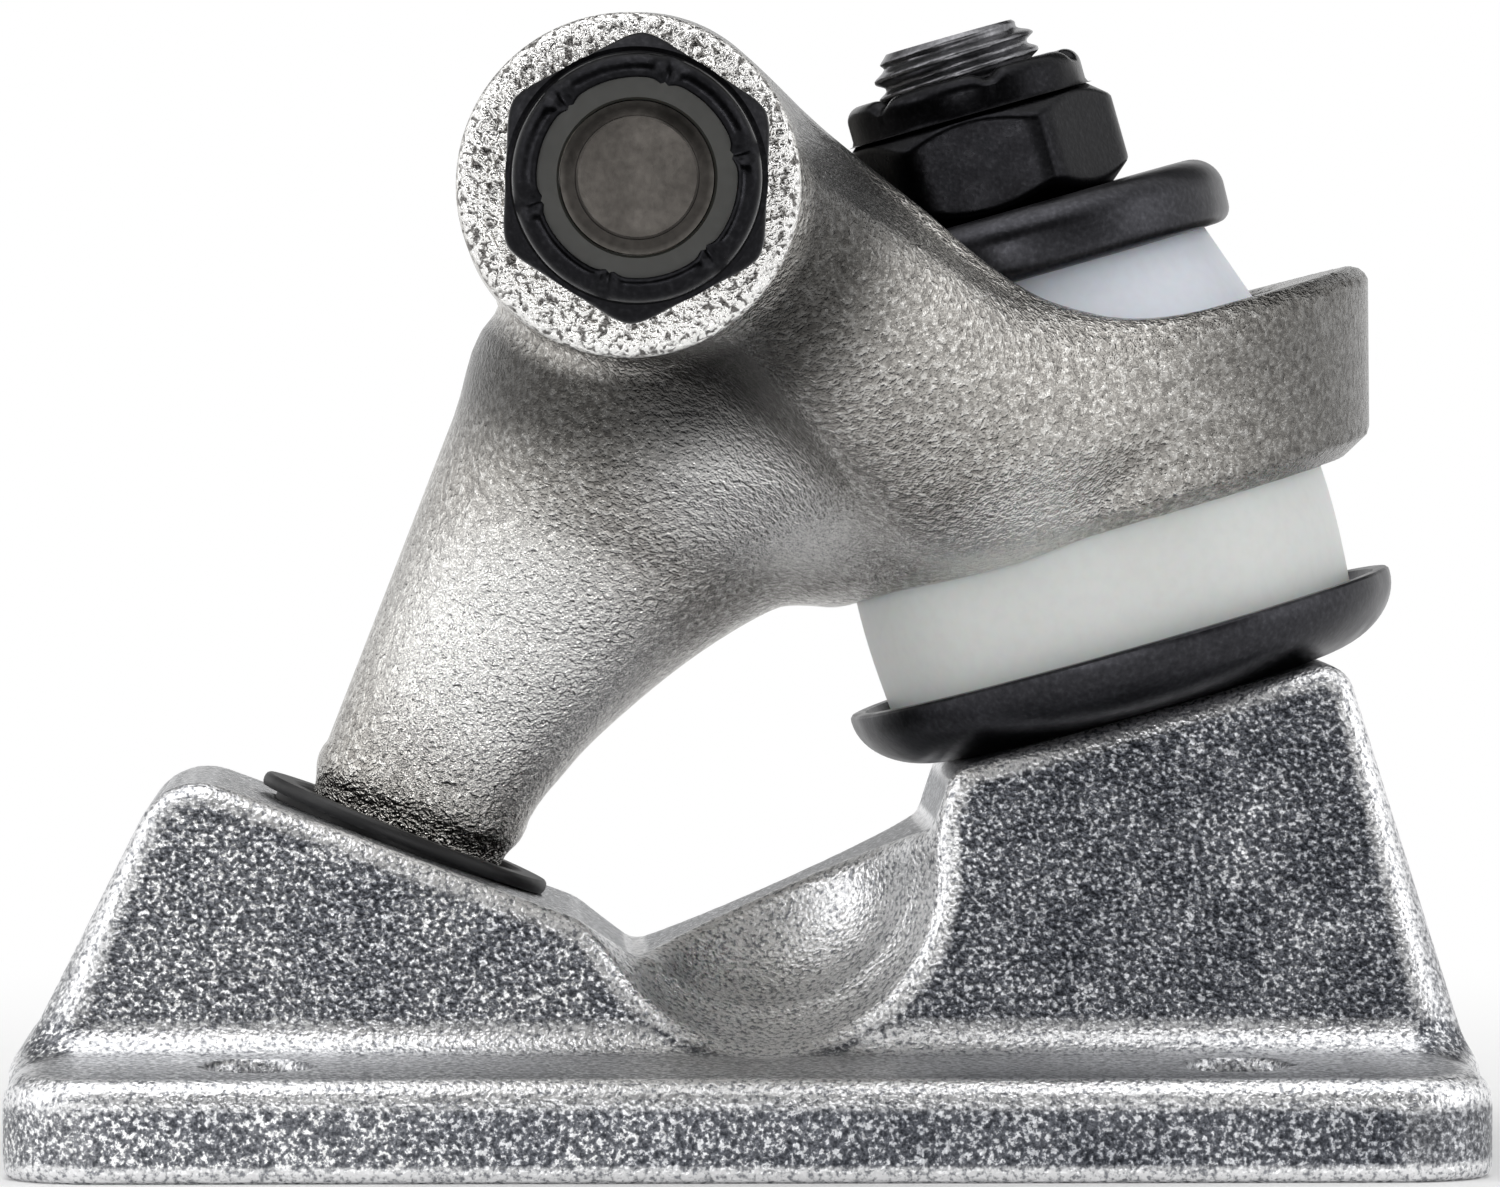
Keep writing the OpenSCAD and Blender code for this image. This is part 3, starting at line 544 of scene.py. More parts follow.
def steel(name, colour, grit, roughness, depth, stain=None):
    """Steel with a thin finish: fine grit, small patches of wear and a soft sheen.

    The grit is drawn coarser than the real one, so that it shows. A stain is a distance along the axle, past
    which the cut end is dark, and its colour."""
    material, tree, shader, coords = new_material(name, Metallic=1.0)
    fine = node(tree, NOISE, {"Vector": coords, "Scale": 1 / grit, "Detail": 3.0})
    patch = node(tree, NOISE, {"Vector": coords, "Scale": 0.12 / grit, "Detail": 2.0})
    dark = tuple(0.72 * c for c in colour)
    light = tuple(min(1.0, 1.3 * c + 0.004) for c in colour)
    tone = node(tree, RAMP, {"Fac": fine.outputs["Fac"]}, stops=[
        (0.3, dark), (0.55, colour), (0.75, light)]).outputs["Color"]
    bump = node(tree, BUMP, {"Strength": 0.3, "Distance": grit * depth, "Height": fine.outputs["Fac"]})
    rough = node(tree, RANGE, {"Value": patch.outputs["Fac"], "From Min": 0.3, "From Max": 0.7,
                               "To Min": roughness * 0.82, "To Max": roughness * 1.2})
    if stain:
        start, stained = stain
        place = node(tree, VECTOR, {0: coords}, operation="ABSOLUTE")
        split = node(tree, SPLIT, {"Vector": place.outputs[0]})
        end = node(tree, RANGE, {"Value": split.outputs["Y"], "From Min": start, "From Max": start + 0.0004})
        cut = node(tree, RAMP, {"Fac": fine.outputs["Fac"]}, stops=[
            (0.3, tuple(0.7 * c for c in stained)), (0.7, stained)])
        tone = node(tree, MIX, {"Factor": end.outputs["Result"], "A": tone, "B": cut.outputs["Color"]},
                    data_type="RGBA").outputs[2]
    dress(tree, shader, tone, rough, bump)
    return material


def poured(name, colour, roughness, glow, speck):
    """Poured urethane or moulded nylon: light sinks in a little, and the skin has a faint ripple and specks.

    The specks are drawn coarser than real dust, so that they show."""
    material, tree, shader, coords = new_material(
        name, Metallic=0.0, IOR=1.5, Subsurface_Weight=glow, Subsurface_Scale=0.004)
    ripple = node(tree, NOISE, {"Vector": coords, "Scale": 1 / 0.0022, "Detail": 2.0})
    dust = node(tree, NOISE, {"Vector": coords, "Scale": 1 / speck, "Detail": 2.0})
    tone = node(tree, RAMP, {"Fac": dust.outputs["Fac"]}, stops=[
        (0.25, tuple(0.96 * c for c in colour)), (0.6, colour)])
    bump = node(tree, BUMP, {"Strength": 0.12, "Distance": 0.00008, "Height": ripple.outputs["Fac"]})
    rough = node(tree, RANGE, {"Value": dust.outputs["Fac"], "To Min": roughness * 0.85,
                               "To Max": roughness * 1.15})
    dress(tree, shader, tone.outputs["Color"], rough, bump)
    return material


BLOCK_OUTLINE = rounded([
    (-37.6, 2.8, 0),
    (-40.6, 5.6, 0),
    (*at_pivot(-13.8, -1.35), 3.4),
    (*at_pivot(10.6, -0.75), 3.5),
    (-6.0, 11.4, 1.0),
    (10.5, 18.7, 1.0),
    (*at_kingpin(-11.4, 0), 1.8),
    (*at_kingpin(11.4, 0), 1.8),
    (40.6, 5.6, 0),
    (37.6, 2.8, 0),
])


def block_half(z):
    """Half the blocks' width at a height: the sides lean in as they rise."""
    return mix(BLOCK_FOOT, BLOCK_TOP, (z - PLATE_T) / BLOCK_HIGH)


def scoop_field(x, y, z):
    """Distance to the scoops: on each side a wide ball in front of a deeper one, with a soft ring between."""
    across = np.abs(y)
    flat = (x - SCOOP[0]) ** 2 + (z - SCOOP[2]) ** 2
    depth = across - SCOOP[1]
    mouth = np.maximum(np.sqrt(flat + (depth - 3.0) ** 2) - MOUTH_R, across - block_half(z) - 2.0)
    bowl = np.sqrt(flat + (depth + 1.2) ** 2) - BOWL_R
    return np.minimum(mouth, bowl)


def base_solid(x, y, z):
    """Distance to the base plate before its holes: a crowned plate and the blocks on it, less the scoops.

    The blocks are their outline in the middle plane met by two leaning sides."""
    across = np.abs(y)
    qx, qy = np.abs(x) - (PLATE_X - PLATE_CORNER), across - (PLATE_Y - PLATE_CORNER)
    plan = np.hypot(np.maximum(qx, 0), np.maximum(qy, 0)) + np.minimum(np.maximum(qx, qy), 0) - PLATE_CORNER
    crown = np.clip(np.minimum((PLATE_Y - across) / 12.5, (PLATE_X - np.abs(x)) / 3.4), 0, 1)
    plate = both(both(plan, z - PLATE_T - PLATE_CROWN * crown, 1.4), -z, 0.6)
    outline = outline_distance(x, z, BLOCK_OUTLINE)
    sides = (across - block_half(z)) * BLOCK_LEAN
    blocks = both(outline, sides, 1.0 + 1.5 * ease(np.abs(x), 33, 39))
    solid = np.maximum(either(plate, blocks, 1.7), np.abs(x) - PLATE_X)
    return both(solid, -scoop_field(x, y, z), 0.9)


def base_field(x, y, z):
    """Distance to the base plate less its holes.

    These are the bolt holes, the cup's bore, the kingpin's hole and the hexagon pocket of its head."""
    across = np.abs(y)
    bolts = np.hypot(np.abs(x) - BOLT_X, across - BOLT_Y) - BOLT_R
    pr, pt = into(PIVOT, PIVOT_LEAN, x, z)
    cup = np.maximum(np.hypot(pr, y) - CUP_R, -CUP_DEEP - pt)
    kr, kt = into(KINGPIN, KINGPIN_LEAN, x, z)
    shank = np.hypot(kr, y) - HOLE_R
    head = np.maximum(np.maximum(across, np.abs(kr) * 0.866 + across * 0.5) - 7.25, kt - HEAD_TOP)
    return both(base_solid(x, y, z), -np.minimum(np.minimum(bolts, cup), np.minimum(shank, head)), 0.2)


STEM_STATIONS = [
    (*at_pivot(-5.9, -14.0), *at_pivot(5.9, -14.0)),
    (*at_pivot(-6.0, 1.0), *at_pivot(6.1, 1.0)),
    (*at_pivot(-6.05, 8.5), *at_pivot(7.2, 6.2)),
    (*at_pivot(-6.1, 15.5), *at_pivot(9.0, 10.4)),
    (*at_pivot(-6.15, 22.5), *at_pivot(11.8, 15.3)),
    (*at_pivot(-6.1, 29.0), *at_pivot(15.05, 19.4)),
    (*at_pivot(0.0, 35.5), *at_pivot(18.1, 21.3)),
    (*at_kingpin(-12.0, RING_HIGH + 2.0), *at_kingpin(-11.0, RING_LOW + 0.2)),
    (*at_kingpin(-5.0, RING_HIGH - 0.6), *at_kingpin(-5.0, RING_LOW + 0.6)),
]
STEM_RUN = smooth_run(STEM_STATIONS)
STEM_OUTLINE = np.concatenate([STEM_RUN[:, :2], STEM_RUN[::-1, 2:]])
# Half width and half depth of the stem at heights up the pivot's axis
STEM_UP = [2.0, 7.3, 12.9, 18.9, 24.2, 28.4]
STEM_WIDE = [6.1, 6.8, 8.2, 10.5, 14.0, 16.0]
STEM_DEEP = [6.1, 6.7, 8.0, 9.7, 11.6, 11.5]
# How square the stem's section is: 2 would be an ellipse
STEM_SQUARE = 2.35

RING_OUTLINE = np.array([[0, 11.0], [15.0, 11.0], [16.5, 11.8], [18.7, 19.9], [18.4, 20.3], [0, 20.3]])
SADDLE_OUTLINE = rounded([
    (-12.0, 18.0, 0), (15.0, 18.0, 0), (15.0, 19.4, 0), (1.0, RING_HIGH, 6.1), (-4.9, 30.2, 12.0),
    (-10.2, 36.5, 0), (-12.0, 36.5, 0)])
ARM_END = at_kingpin(-5.2, UPPER_SEAT + 0.2)
# The arms draw back between these distances from the middle, and end at the tip
ARM_FROM = 14.0
ARM_TO = 46.0
ARM_TIP = 58.0
ARM_ASIDE = 3.1
ARM_THIN = 3.0
ARM_THICK = (7.1, 7.4)
# The ring's cone: its radius at its lower edge, and how fast it widens
CONE_R = 17.0
CONE_WIDENS = 0.2136
BALL_R = 5.2
BALL_DOWN = 5
BORE_R = 8.0


def hanger_field(x, y, z):
    """Distance to the hanger: barrel, arms, stem, ring, saddle and nose, less its seats, pocket and bores.

    The parts flow into each other. An arm's section at y is two circles and the flanks between them, and
    the far circle draws back into the barrel as y grows. The stem is its outline in the middle plane with a
    rounded square section across it."""
    across = np.abs(y)
    kr, kt = into(KINGPIN, KINGPIN_LEAN, x, z)
    pr, pt = into(PIVOT, PIVOT_LEAN, x, z)
    radial = np.hypot(kr, y)
    axle = np.hypot(x - AXLE[0], z - AXLE[2])
    barrel = both(axle - BARREL_R, across - HANGER_HALF, 0.5)
    spread = 1 - ease(across, ARM_FROM, ARM_TO)
    run = ARM_END - AXLE[[0, 2]]
    run = run / np.linalg.norm(run)
    root = AXLE[[0, 2]] + ARM_ASIDE * np.array([-run[1], run[0]])
    ex, ez = (ARM_END[0] - root[0]) * spread, (ARM_END[1] - root[1]) * spread
    share = np.clip(((x - root[0]) * ex + (z - root[1]) * ez) / np.maximum(ex * ex + ez * ez, 1e-3), 0, 1)
    thick = mix(mix(ARM_THIN, ARM_THICK[0], spread), mix(ARM_THIN, ARM_THICK[1], spread), share)
    arms = np.hypot(x - root[0] - share * ex, z - root[1] - share * ez) - thick
    arms = both(both(arms, RING_LOW + 0.15 - kt, 1.2), across - ARM_TIP, 1.0)
    wide, deep = np.interp(pt, STEM_UP, STEM_WIDE), np.interp(pt, STEM_UP, STEM_DEEP)
    inward = np.maximum(1 + outline_distance(x, z, STEM_OUTLINE) / deep, 0)
    section = inward ** STEM_SQUARE + (across / wide) ** STEM_SQUARE
    stem = (section ** (1 / STEM_SQUARE) - 1) * np.minimum(wide, deep)
    stem = both(stem, 1.0 - pt, 0.8)
    ring = outline_distance(radial, kt, RING_OUTLINE) - 0.5
    cone = radial - CONE_R - CONE_WIDENS * (kt - RING_LOW)
    saddle = both(outline_distance(kr, kt, SADDLE_OUTLINE), cone, 0.6)
    ball = np.sqrt(pr ** 2 + y ** 2 + (pt + BALL_DOWN) ** 2) - BALL_R
    neck_r = mix(5.1, 6.0, np.clip((pt + BALL_DOWN) / 7.2, 0, 1))
    neck = np.maximum(np.hypot(pr, y) - neck_r, np.abs(pt + 1.4) - 3.6)
    solid = melted(barrel, arms, 3.5)
    solid = melted(solid, stem, 0.8 + 6.0 * ease(pr, -2.0, 6.0))
    solid = melted(solid, ring, 1.6 + 6.0 * ease(kt, 11.5, 16.0))
    solid = melted(solid, saddle, 1.5)
    solid = melted(solid, np.minimum(ball, neck), 0.8)
    slot_r = np.hypot(kr, np.maximum(across - 3.2, 0))
    seats = np.minimum(np.maximum(radial - SEAT_R, kt - RING_FLOOR),
                       np.maximum(radial - SEAT_R, np.maximum(UPPER_SEAT - kt, kt - 21.8)))
    pocket = np.maximum(slot_r - SEAT_R + 2.15 * ease(kt, 29.5, 34.0), RING_HIGH - kt)
    bores = np.minimum(np.maximum(radial - BORE_R, kt - 22.0), axle - CORE_R)
    return both(solid, -np.minimum(np.minimum(seats, pocket), bores), 0.45)


def hexagon(angle, flats):
    """Radius of a hexagon with a corner at angle 0: half its flats over the cosine from the nearest flat."""
    return flats / 2 / np.cos(np.mod(angle, np.pi / 3) - np.pi / 6)


def lock_nut(flats, height, collar, bore):
    """Radius and height arrays of a lock nut that stands on 0.

    Each side wall is the least of the hexagon and two flat cones, which gives the arched chamfers. The collar
    is an arc, pressed in and down at six crimp marks."""
    angle = np.arange(288)[:, None] * 2 * np.pi / 288
    corner = flats / 2 / math.cos(math.pi / 6)
    hexa = melted(hexagon(angle, flats), corner - 0.25 + 0 * angle, 0.35)
    face = flats / 2 * 0.95
    up = height * (0.5 - 0.5 * np.cos(np.linspace(0, np.pi, 36)))[None]
    wall = melted(hexa, face + np.minimum(up, height - up) * 1.2, 0.2)
    collar_r = flats / 2 - 0.3
    inner = flats / 2 - 1.2
    top = height + collar
    crown = arc(collar_r - 0.9, top - 0.9, 0.9, 0.9, 0, 90, 9)
    ledge = profile((collar_r + 0.32, height), (collar_r + 0.1, height + 0.06), (collar_r, height + 0.28))
    lip = profile((inner - 0.15, top - 0.04), (inner - 0.3, top - 0.2), (inner - 0.3, top - 0.5))
    inside = profile((inner, top - 0.5), (inner, height - 0.4), (bore, height - 0.4), (bore, 0.5),
                     (bore + 0.5, 0))
    fixed = np.concatenate([ledge, crown, lip, inside])
    from_mark = (np.degrees(angle) + CRIMP_AT + 30) % 60 - 30
    mark = np.exp(-(from_mark / CRIMP_WIDE) ** 2)
    share = np.concatenate([np.zeros(3), np.linspace(0, 1, 9) ** 0.7, [1, 0.8, 0.3], np.zeros(5)])[None]
    radius = np.concatenate([wall, fixed[None, :, 0] - CRIMP_IN * mark * share], axis=1)
    heights = np.concatenate([up + 0 * angle, fixed[None, :, 1] - CRIMP_DOWN * mark * share], axis=1)
    return radius, heights


def ring_profile(inner, outer, low, high, bevel):
    """Stations of a flat ring with bevelled edges."""
    return profile((inner + bevel, low), (outer - bevel, low), (outer, low + bevel), (outer, high - bevel),
                   (outer - bevel, high), (inner + bevel, high), (inner, high - bevel), (inner, low + bevel))


def thread_wave(turns, heights, pitch):
    """Depth from 0 at a crest to 1 at a root of a right-hand thread: a rounded triangle along each turn."""
    angle = np.arange(turns)[:, None] / turns
    phase = np.mod(heights[None] / pitch - angle, 1)
    return ease(np.abs(2 * phase - 1), 0.1, 0.9)


class TruckLook(bpy.types.PropertyGroup):
    """Finishes and small sizes of the truck that a user would change."""

    base_colour: FloatVectorProperty(
        name="Base metal", description="Colour of the base plate's cast aluminium", subtype="COLOR", size=3,
        min=0, max=1, default=srgb("#86888d"))
    hanger_colour: FloatVectorProperty(
        name="Hanger metal", description="Colour of the hanger's cast aluminium", subtype="COLOR", size=3,
        min=0, max=1, default=srgb("#b0ada8"))
    black_colour: FloatVectorProperty(
        name="Black steel", description="Colour of the nuts and cup washers", subtype="COLOR", size=3,
        min=0, max=1, default=srgb("#2e2e31"))
    axle_colour: FloatVectorProperty(
        name="Axle steel", description="Colour of the axle and its washers", subtype="COLOR", size=3,
        min=0, max=1, default=srgb("#8d8983"))
    upper_colour: FloatVectorProperty(
        name="Upper urethane", description="Colour of the upper bushing", subtype="COLOR", size=3,
        min=0, max=1, default=srgb("#e3e7f0"))
    lower_colour: FloatVectorProperty(
        name="Lower urethane", description="Colour of the lower bushing", subtype="COLOR", size=3,
        min=0, max=1, default=srgb("#dadcda"))
    insert_colour: FloatVectorProperty(
        name="Nylon", description="Colour of the lock nuts' inserts", subtype="COLOR", size=3,
        min=0, max=1, default=srgb("#2b2b27"))
    base_grain: FloatProperty(
        name="Base grain", description="Grain size of the base plate's skin", unit="LENGTH", precision=5,
        min=0.0001, default=0.0003)
    hanger_grain: FloatProperty(
        name="Hanger grain", description="Width of a ripple of the hanger's skin", unit="LENGTH", precision=5,
        min=0.0001, default=0.0004)
    casting_step: FloatProperty(
        name="Casting step", description="Distance between points on the castings", unit="LENGTH",
        precision=5, min=0.0003, default=0.00052)
    pitch: FloatProperty(
        name="Thread pitch", description="Distance from crest to crest of the fine threads", unit="LENGTH",
        precision=5, min=0.0005, default=0.001058)
    turns: IntProperty(
        name="Turns", description="Faces round a turned piece", min=32, default=144)


class TRUCK_OT_baseplate(bpy.types.Operator):
    """Cast base plate with its pivot and kingpin blocks"""

    bl_idname = "truck.baseplate"
    bl_label = "Base Plate"
    bl_options = {"REGISTER", "UNDO"}

    def execute(self, context):
        """Skin the base plate's distance field, wear its edges, pale its ledge and paint light into its
        scoops and bolt holes.
        """
        look = context.scene.truck_look
        room = 1.2
        low = (-PLATE_X - room, -PLATE_Y - room, -room)
        high = (PLATE_X + room, PLATE_Y + room, 30.4)
        points, faces = cast_skin(base_field, low, high, look.casting_step / MM)
        x, y, z = points.T
        ledge = ease(np.abs(y) - block_half(z), 1.0, 2.0) * ease(z, 5.2, 6.0)
        from_bolt = np.hypot(np.abs(x) - BOLT_X, np.abs(y) - BOLT_Y)
        holes = 1 - ease(from_bolt, BOLT_R + 0.15, BOLT_R + 0.45)
        # Edge wear from how sharply the casting turns, and painted light that brightens the scoops' bowls
        wear_and_light = edge_wear(base_solid, points, 0.6) + 0.6 * (1 - ease(scoop_field(x, y, z), 0.1, 0.9))
        # A paler ledge, and painted light that brightens the bolt holes' walls
        wear_and_light = np.maximum(wear_and_light, 0.36 * np.maximum(ledge, holes))
        piece = make_piece("baseplate_casting", points, faces, cast_base_metal(look), wear_and_light=wear_and_light)
        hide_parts("baseplate")
        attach(piece, "base")
        return {"FINISHED"}


class TRUCK_OT_hanger(bpy.types.Operator):
    """Cast hanger with its barrel, stem, arms and bushing ring"""

    bl_idname = "truck.hanger"
    bl_label = "Hanger"
    bl_options = {"REGISTER", "UNDO"}

    def execute(self, context):
        """Skin the hanger's distance field on a grid that clears it all round."""
        look = context.scene.truck_look
        low, high = (-28.1, -HANGER_HALF - 1.3, 7.1), (38.0, HANGER_HALF + 1.3, 65.0)
        points, faces = cast_skin(hanger_field, low, high, look.casting_step / MM)
        piece = make_piece("hanger_casting", points, faces, cast_hanger_metal(look))
        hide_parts("hanger")
        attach(piece, "hanger")
        return {"FINISHED"}


class TRUCK_OT_bushings(bpy.types.Operator):
    """Urethane bushings between the base and the hanger"""

    bl_idname = "truck.bushings"
    bl_label = "Bushings"
    bl_options = {"REGISTER", "UNDO"}

    def execute(self, context):
        """Turn the barrel bushing and the cone bushing, with rounded rims."""
        look = context.scene.truck_look
        foot = arc(10.35, WASHER_T + 2.0, 3.05, 2.0, -90, -35, 9)
        swell = np.linspace(0, 1, 15)
        wall_up = mix(foot[-1, 1] + 0.8, RING_FLOOR - 1.0, swell)
        wall = np.stack([13.55 + 0.25 * np.sin(np.pi * swell), wall_up], axis=1)
        rim = arc(12.6, RING_FLOOR - 0.95, 0.95, 0.95, 0, 90)
        lower = profile((HOLE_R, WASHER_T), (7.5, WASHER_T), foot, wall, rim, (9.0, RING_FLOOR),
                        (HOLE_R, RING_FLOOR))
        urethane = poured("urethane_lower", look.lower_colour, roughness=0.42, glow=0.35, speck=0.0007)
        piece = make_turned("lower_bushing_urethane", lower, ON_KINGPIN, urethane,
                            turns=look.turns)
        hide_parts("lower_bushing")
        self.bend(piece, "base", "hanger", WASHER_T + 1.5, RING_FLOOR - 1.0)
        slant_up = np.linspace(UPPER_SEAT + 1.0, UPPER_TOP - 2.0, 9)
        slant = np.stack([np.linspace(13.45, 11.05, 9), slant_up], axis=1)
        seat = arc(12.5, UPPER_SEAT + 1.0, 0.95, 1.0, -90, -12)
        rim = arc(9.9, UPPER_TOP - 1.9, 1.1, 1.9, 0, 90)
        upper = profile((HOLE_R, UPPER_SEAT), (9.0, UPPER_SEAT), seat, slant, rim, (7.5, UPPER_TOP),
                        (HOLE_R, UPPER_TOP))
        urethane = poured("urethane_upper", look.upper_colour, roughness=0.4, glow=0.3, speck=0.0007)
        piece = make_turned("upper_bushing_urethane", upper, ON_KINGPIN, urethane,
                            turns=look.turns)
        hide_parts("upper_bushing")
        self.bend(piece, "hanger", "base", UPPER_SEAT + 0.5, UPPER_TOP - 1.0)
        return {"FINISHED"}

    def bend(self, piece, first, last, low, high):
        """Lay a bushing's place into its mesh. The two bodies and the heights are not used."""
        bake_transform(piece)


class TRUCK_OT_cup_washers(bpy.types.Operator):
    """Dished cup washers over and under the bushings"""

    bl_idname = "truck.cup_washers"
    bl_label = "Cup Washers"
    bl_options = {"REGISTER", "UNDO"}

    def execute(self, context):
        """Turn the two dished profiles."""
        look = context.scene.truck_look
        paler = tuple(1.5 * c for c in look.black_colour)
        black = steel("black_oxide_steel_washers", paler, grit=0.0003, roughness=0.34, depth=0.12)
        bowl = arc(10.5, 3.9, 4.5, 2.0, -2, -90, 14)
        lower = profile((HOLE_R + 0.2, 0), (8.0, 0), (11.0, 0), arc(11.0, 3.55, 4.9, 3.55, -84, 0, 16),
                        (15.88, 3.72), (15.75, 3.86), (15.55, 3.9), (15.2, 3.9), bowl, (7.0, WASHER_T),
                        (HOLE_R + 0.2, WASHER_T), (HOLE_R, WASHER_T - 0.2), (HOLE_R, 0.2))
        piece = make_turned("lower_cup_washer_steel", lower, ON_KINGPIN, black,
                            turns=look.turns)
        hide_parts("lower_cup_washer")
        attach(piece, "base")
        skirt = UPPER_TOP - 2.0
        inner = arc(9.7, UPPER_TOP - 1.9, 1.5, 1.9, 80, 4)
        edge = arc(11.9, skirt + 0.9, 0.85, 0.9, -70, 0, 6)
        shoulder = arc(11.0, WASHER_TOP - 1.8, 1.8, 1.8, 4, 90, 12)
        upper = profile((HOLE_R + 0.2, UPPER_TOP), (9.6, UPPER_TOP), inner, (11.3, skirt + 0.05),
                        (11.5, skirt), (11.9, skirt), edge, shoulder, (8.5, WASHER_TOP),
                        (HOLE_R + 0.2, WASHER_TOP), (HOLE_R, WASHER_TOP - 0.2), (HOLE_R, UPPER_TOP + 0.2))
        piece = make_turned("upper_cup_washer_steel", upper, ON_KINGPIN, black,
                            turns=look.turns)
        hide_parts("upper_cup_washer")
        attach(piece, "base")
        return {"FINISHED"}


class TRUCK_OT_kingpin(bpy.types.Operator):
    """Kingpin bolt with its hexagon head and threaded end"""

    bl_idname = "truck.kingpin"
    bl_label = "Kingpin"
    bl_options = {"REGISTER", "UNDO"}

    def execute(self, context):
        """Turn the bolt: a chamfered hexagon head, a plain shank and a thread that runs out at the tip."""
        look = context.scene.truck_look
        turns = 96
        angle = np.arange(turns)[:, None] * 2 * np.pi / turns
        head_up = np.concatenate([np.linspace(HEAD_LOW, -21.5, 14), [HEAD_TOP]])[None]
        hexa = melted(hexagon(angle, KINGPIN_FLATS), 8.15 + 0 * angle, 0.2)
        head = melted(hexa, 6.9 + (head_up - HEAD_LOW) * 1.75, 0.15)
        shank = profile((KINGPIN_R, HEAD_TOP), (KINGPIN_R, 0.0), (KINGPIN_R, 33.0))
        up = np.linspace(33.2, TIP, 92)
        crest = KINGPIN_R - np.maximum(up - (TIP - 1.0), 0) * 1.06
        wave = thread_wave(turns, up, look.pitch / MM) * np.clip((TIP - 0.15 - up) / 0.5, 0, 1)
        thread = crest[None] - KINGPIN_THREAD_DEEP * wave
        ones = np.ones((turns, 1))
        radius = np.concatenate([0 * ones, head, shank[None, :, 0] * ones, thread, 0 * ones], axis=1)
        heights = np.concatenate([[HEAD_LOW], head_up[0], shank[:, 1], up, [TIP]])[None] * ones
        worn = steel("worn_steel_kingpin", srgb("#77777a"), grit=0.00025, roughness=0.3, depth=0.15)
        piece = make_turned("kingpin_bolt", (radius, heights), ON_KINGPIN, worn, closed=False)
        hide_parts("kingpin")
        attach(piece, "base")
        return {"FINISHED"}


class TRUCK_OT_lock_nuts(bpy.types.Operator):
    """Lock nuts with crimped collars and nylon inserts"""

    bl_idname = "truck.lock_nuts"
    bl_label = "Lock Nuts"
    bl_options = {"REGISTER", "UNDO"}

    def execute(self, context):
        """Turn a nut and an insert for the kingpin and for each end of the axle."""
        look = context.scene.truck_look
        darker = tuple(0.5 * c for c in look.black_colour)
        black = steel("black_oxide_steel_nuts", darker, grit=0.00028, roughness=0.3, depth=0.14)
        nylon = poured("nylon_insert", look.insert_colour, roughness=0.45, glow=0.05, speck=0.0004)
        upright = leaning(KINGPIN_LEAN)
        # Name, body, place, flats, height, collar, bore and turn in degrees
        places = [
            ("kingpin_nut", "kingpin_nut", (KINGPIN + upright[:, 2] * WASHER_TOP, upright),
             KINGPIN_FLATS, 5.8, 2.2, 4.8, -5.0),
            ("axle_nut_front", "front_nut", on_axle(NUT_FACE, -1), AXLE_FLATS, 4.8, 2.0, 3.77, 27.5),
            ("axle_nut_back", "back_nut", on_axle(NUT_FACE, 1), AXLE_FLATS, 4.8, 2.0, 3.77, 27.5),
        ]
        for name, body, place, flats, height, collar, bore, turn in places:
            nut = lock_nut(flats, height, collar, bore)
            piece = make_turned(name + "_steel", nut, place, black, turn=math.radians(turn),
                                sharp=40)
            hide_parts(name)
            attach(piece, body)
            seat = ring_profile(bore, flats / 2 - 1.22, height - 0.38, height + collar - 0.52, 0.12)
            piece = make_turned(name + "_insert_nylon", seat, place, nylon, turns=96)
            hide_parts(name + "_insert")
            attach(piece, body)
        return {"FINISHED"}


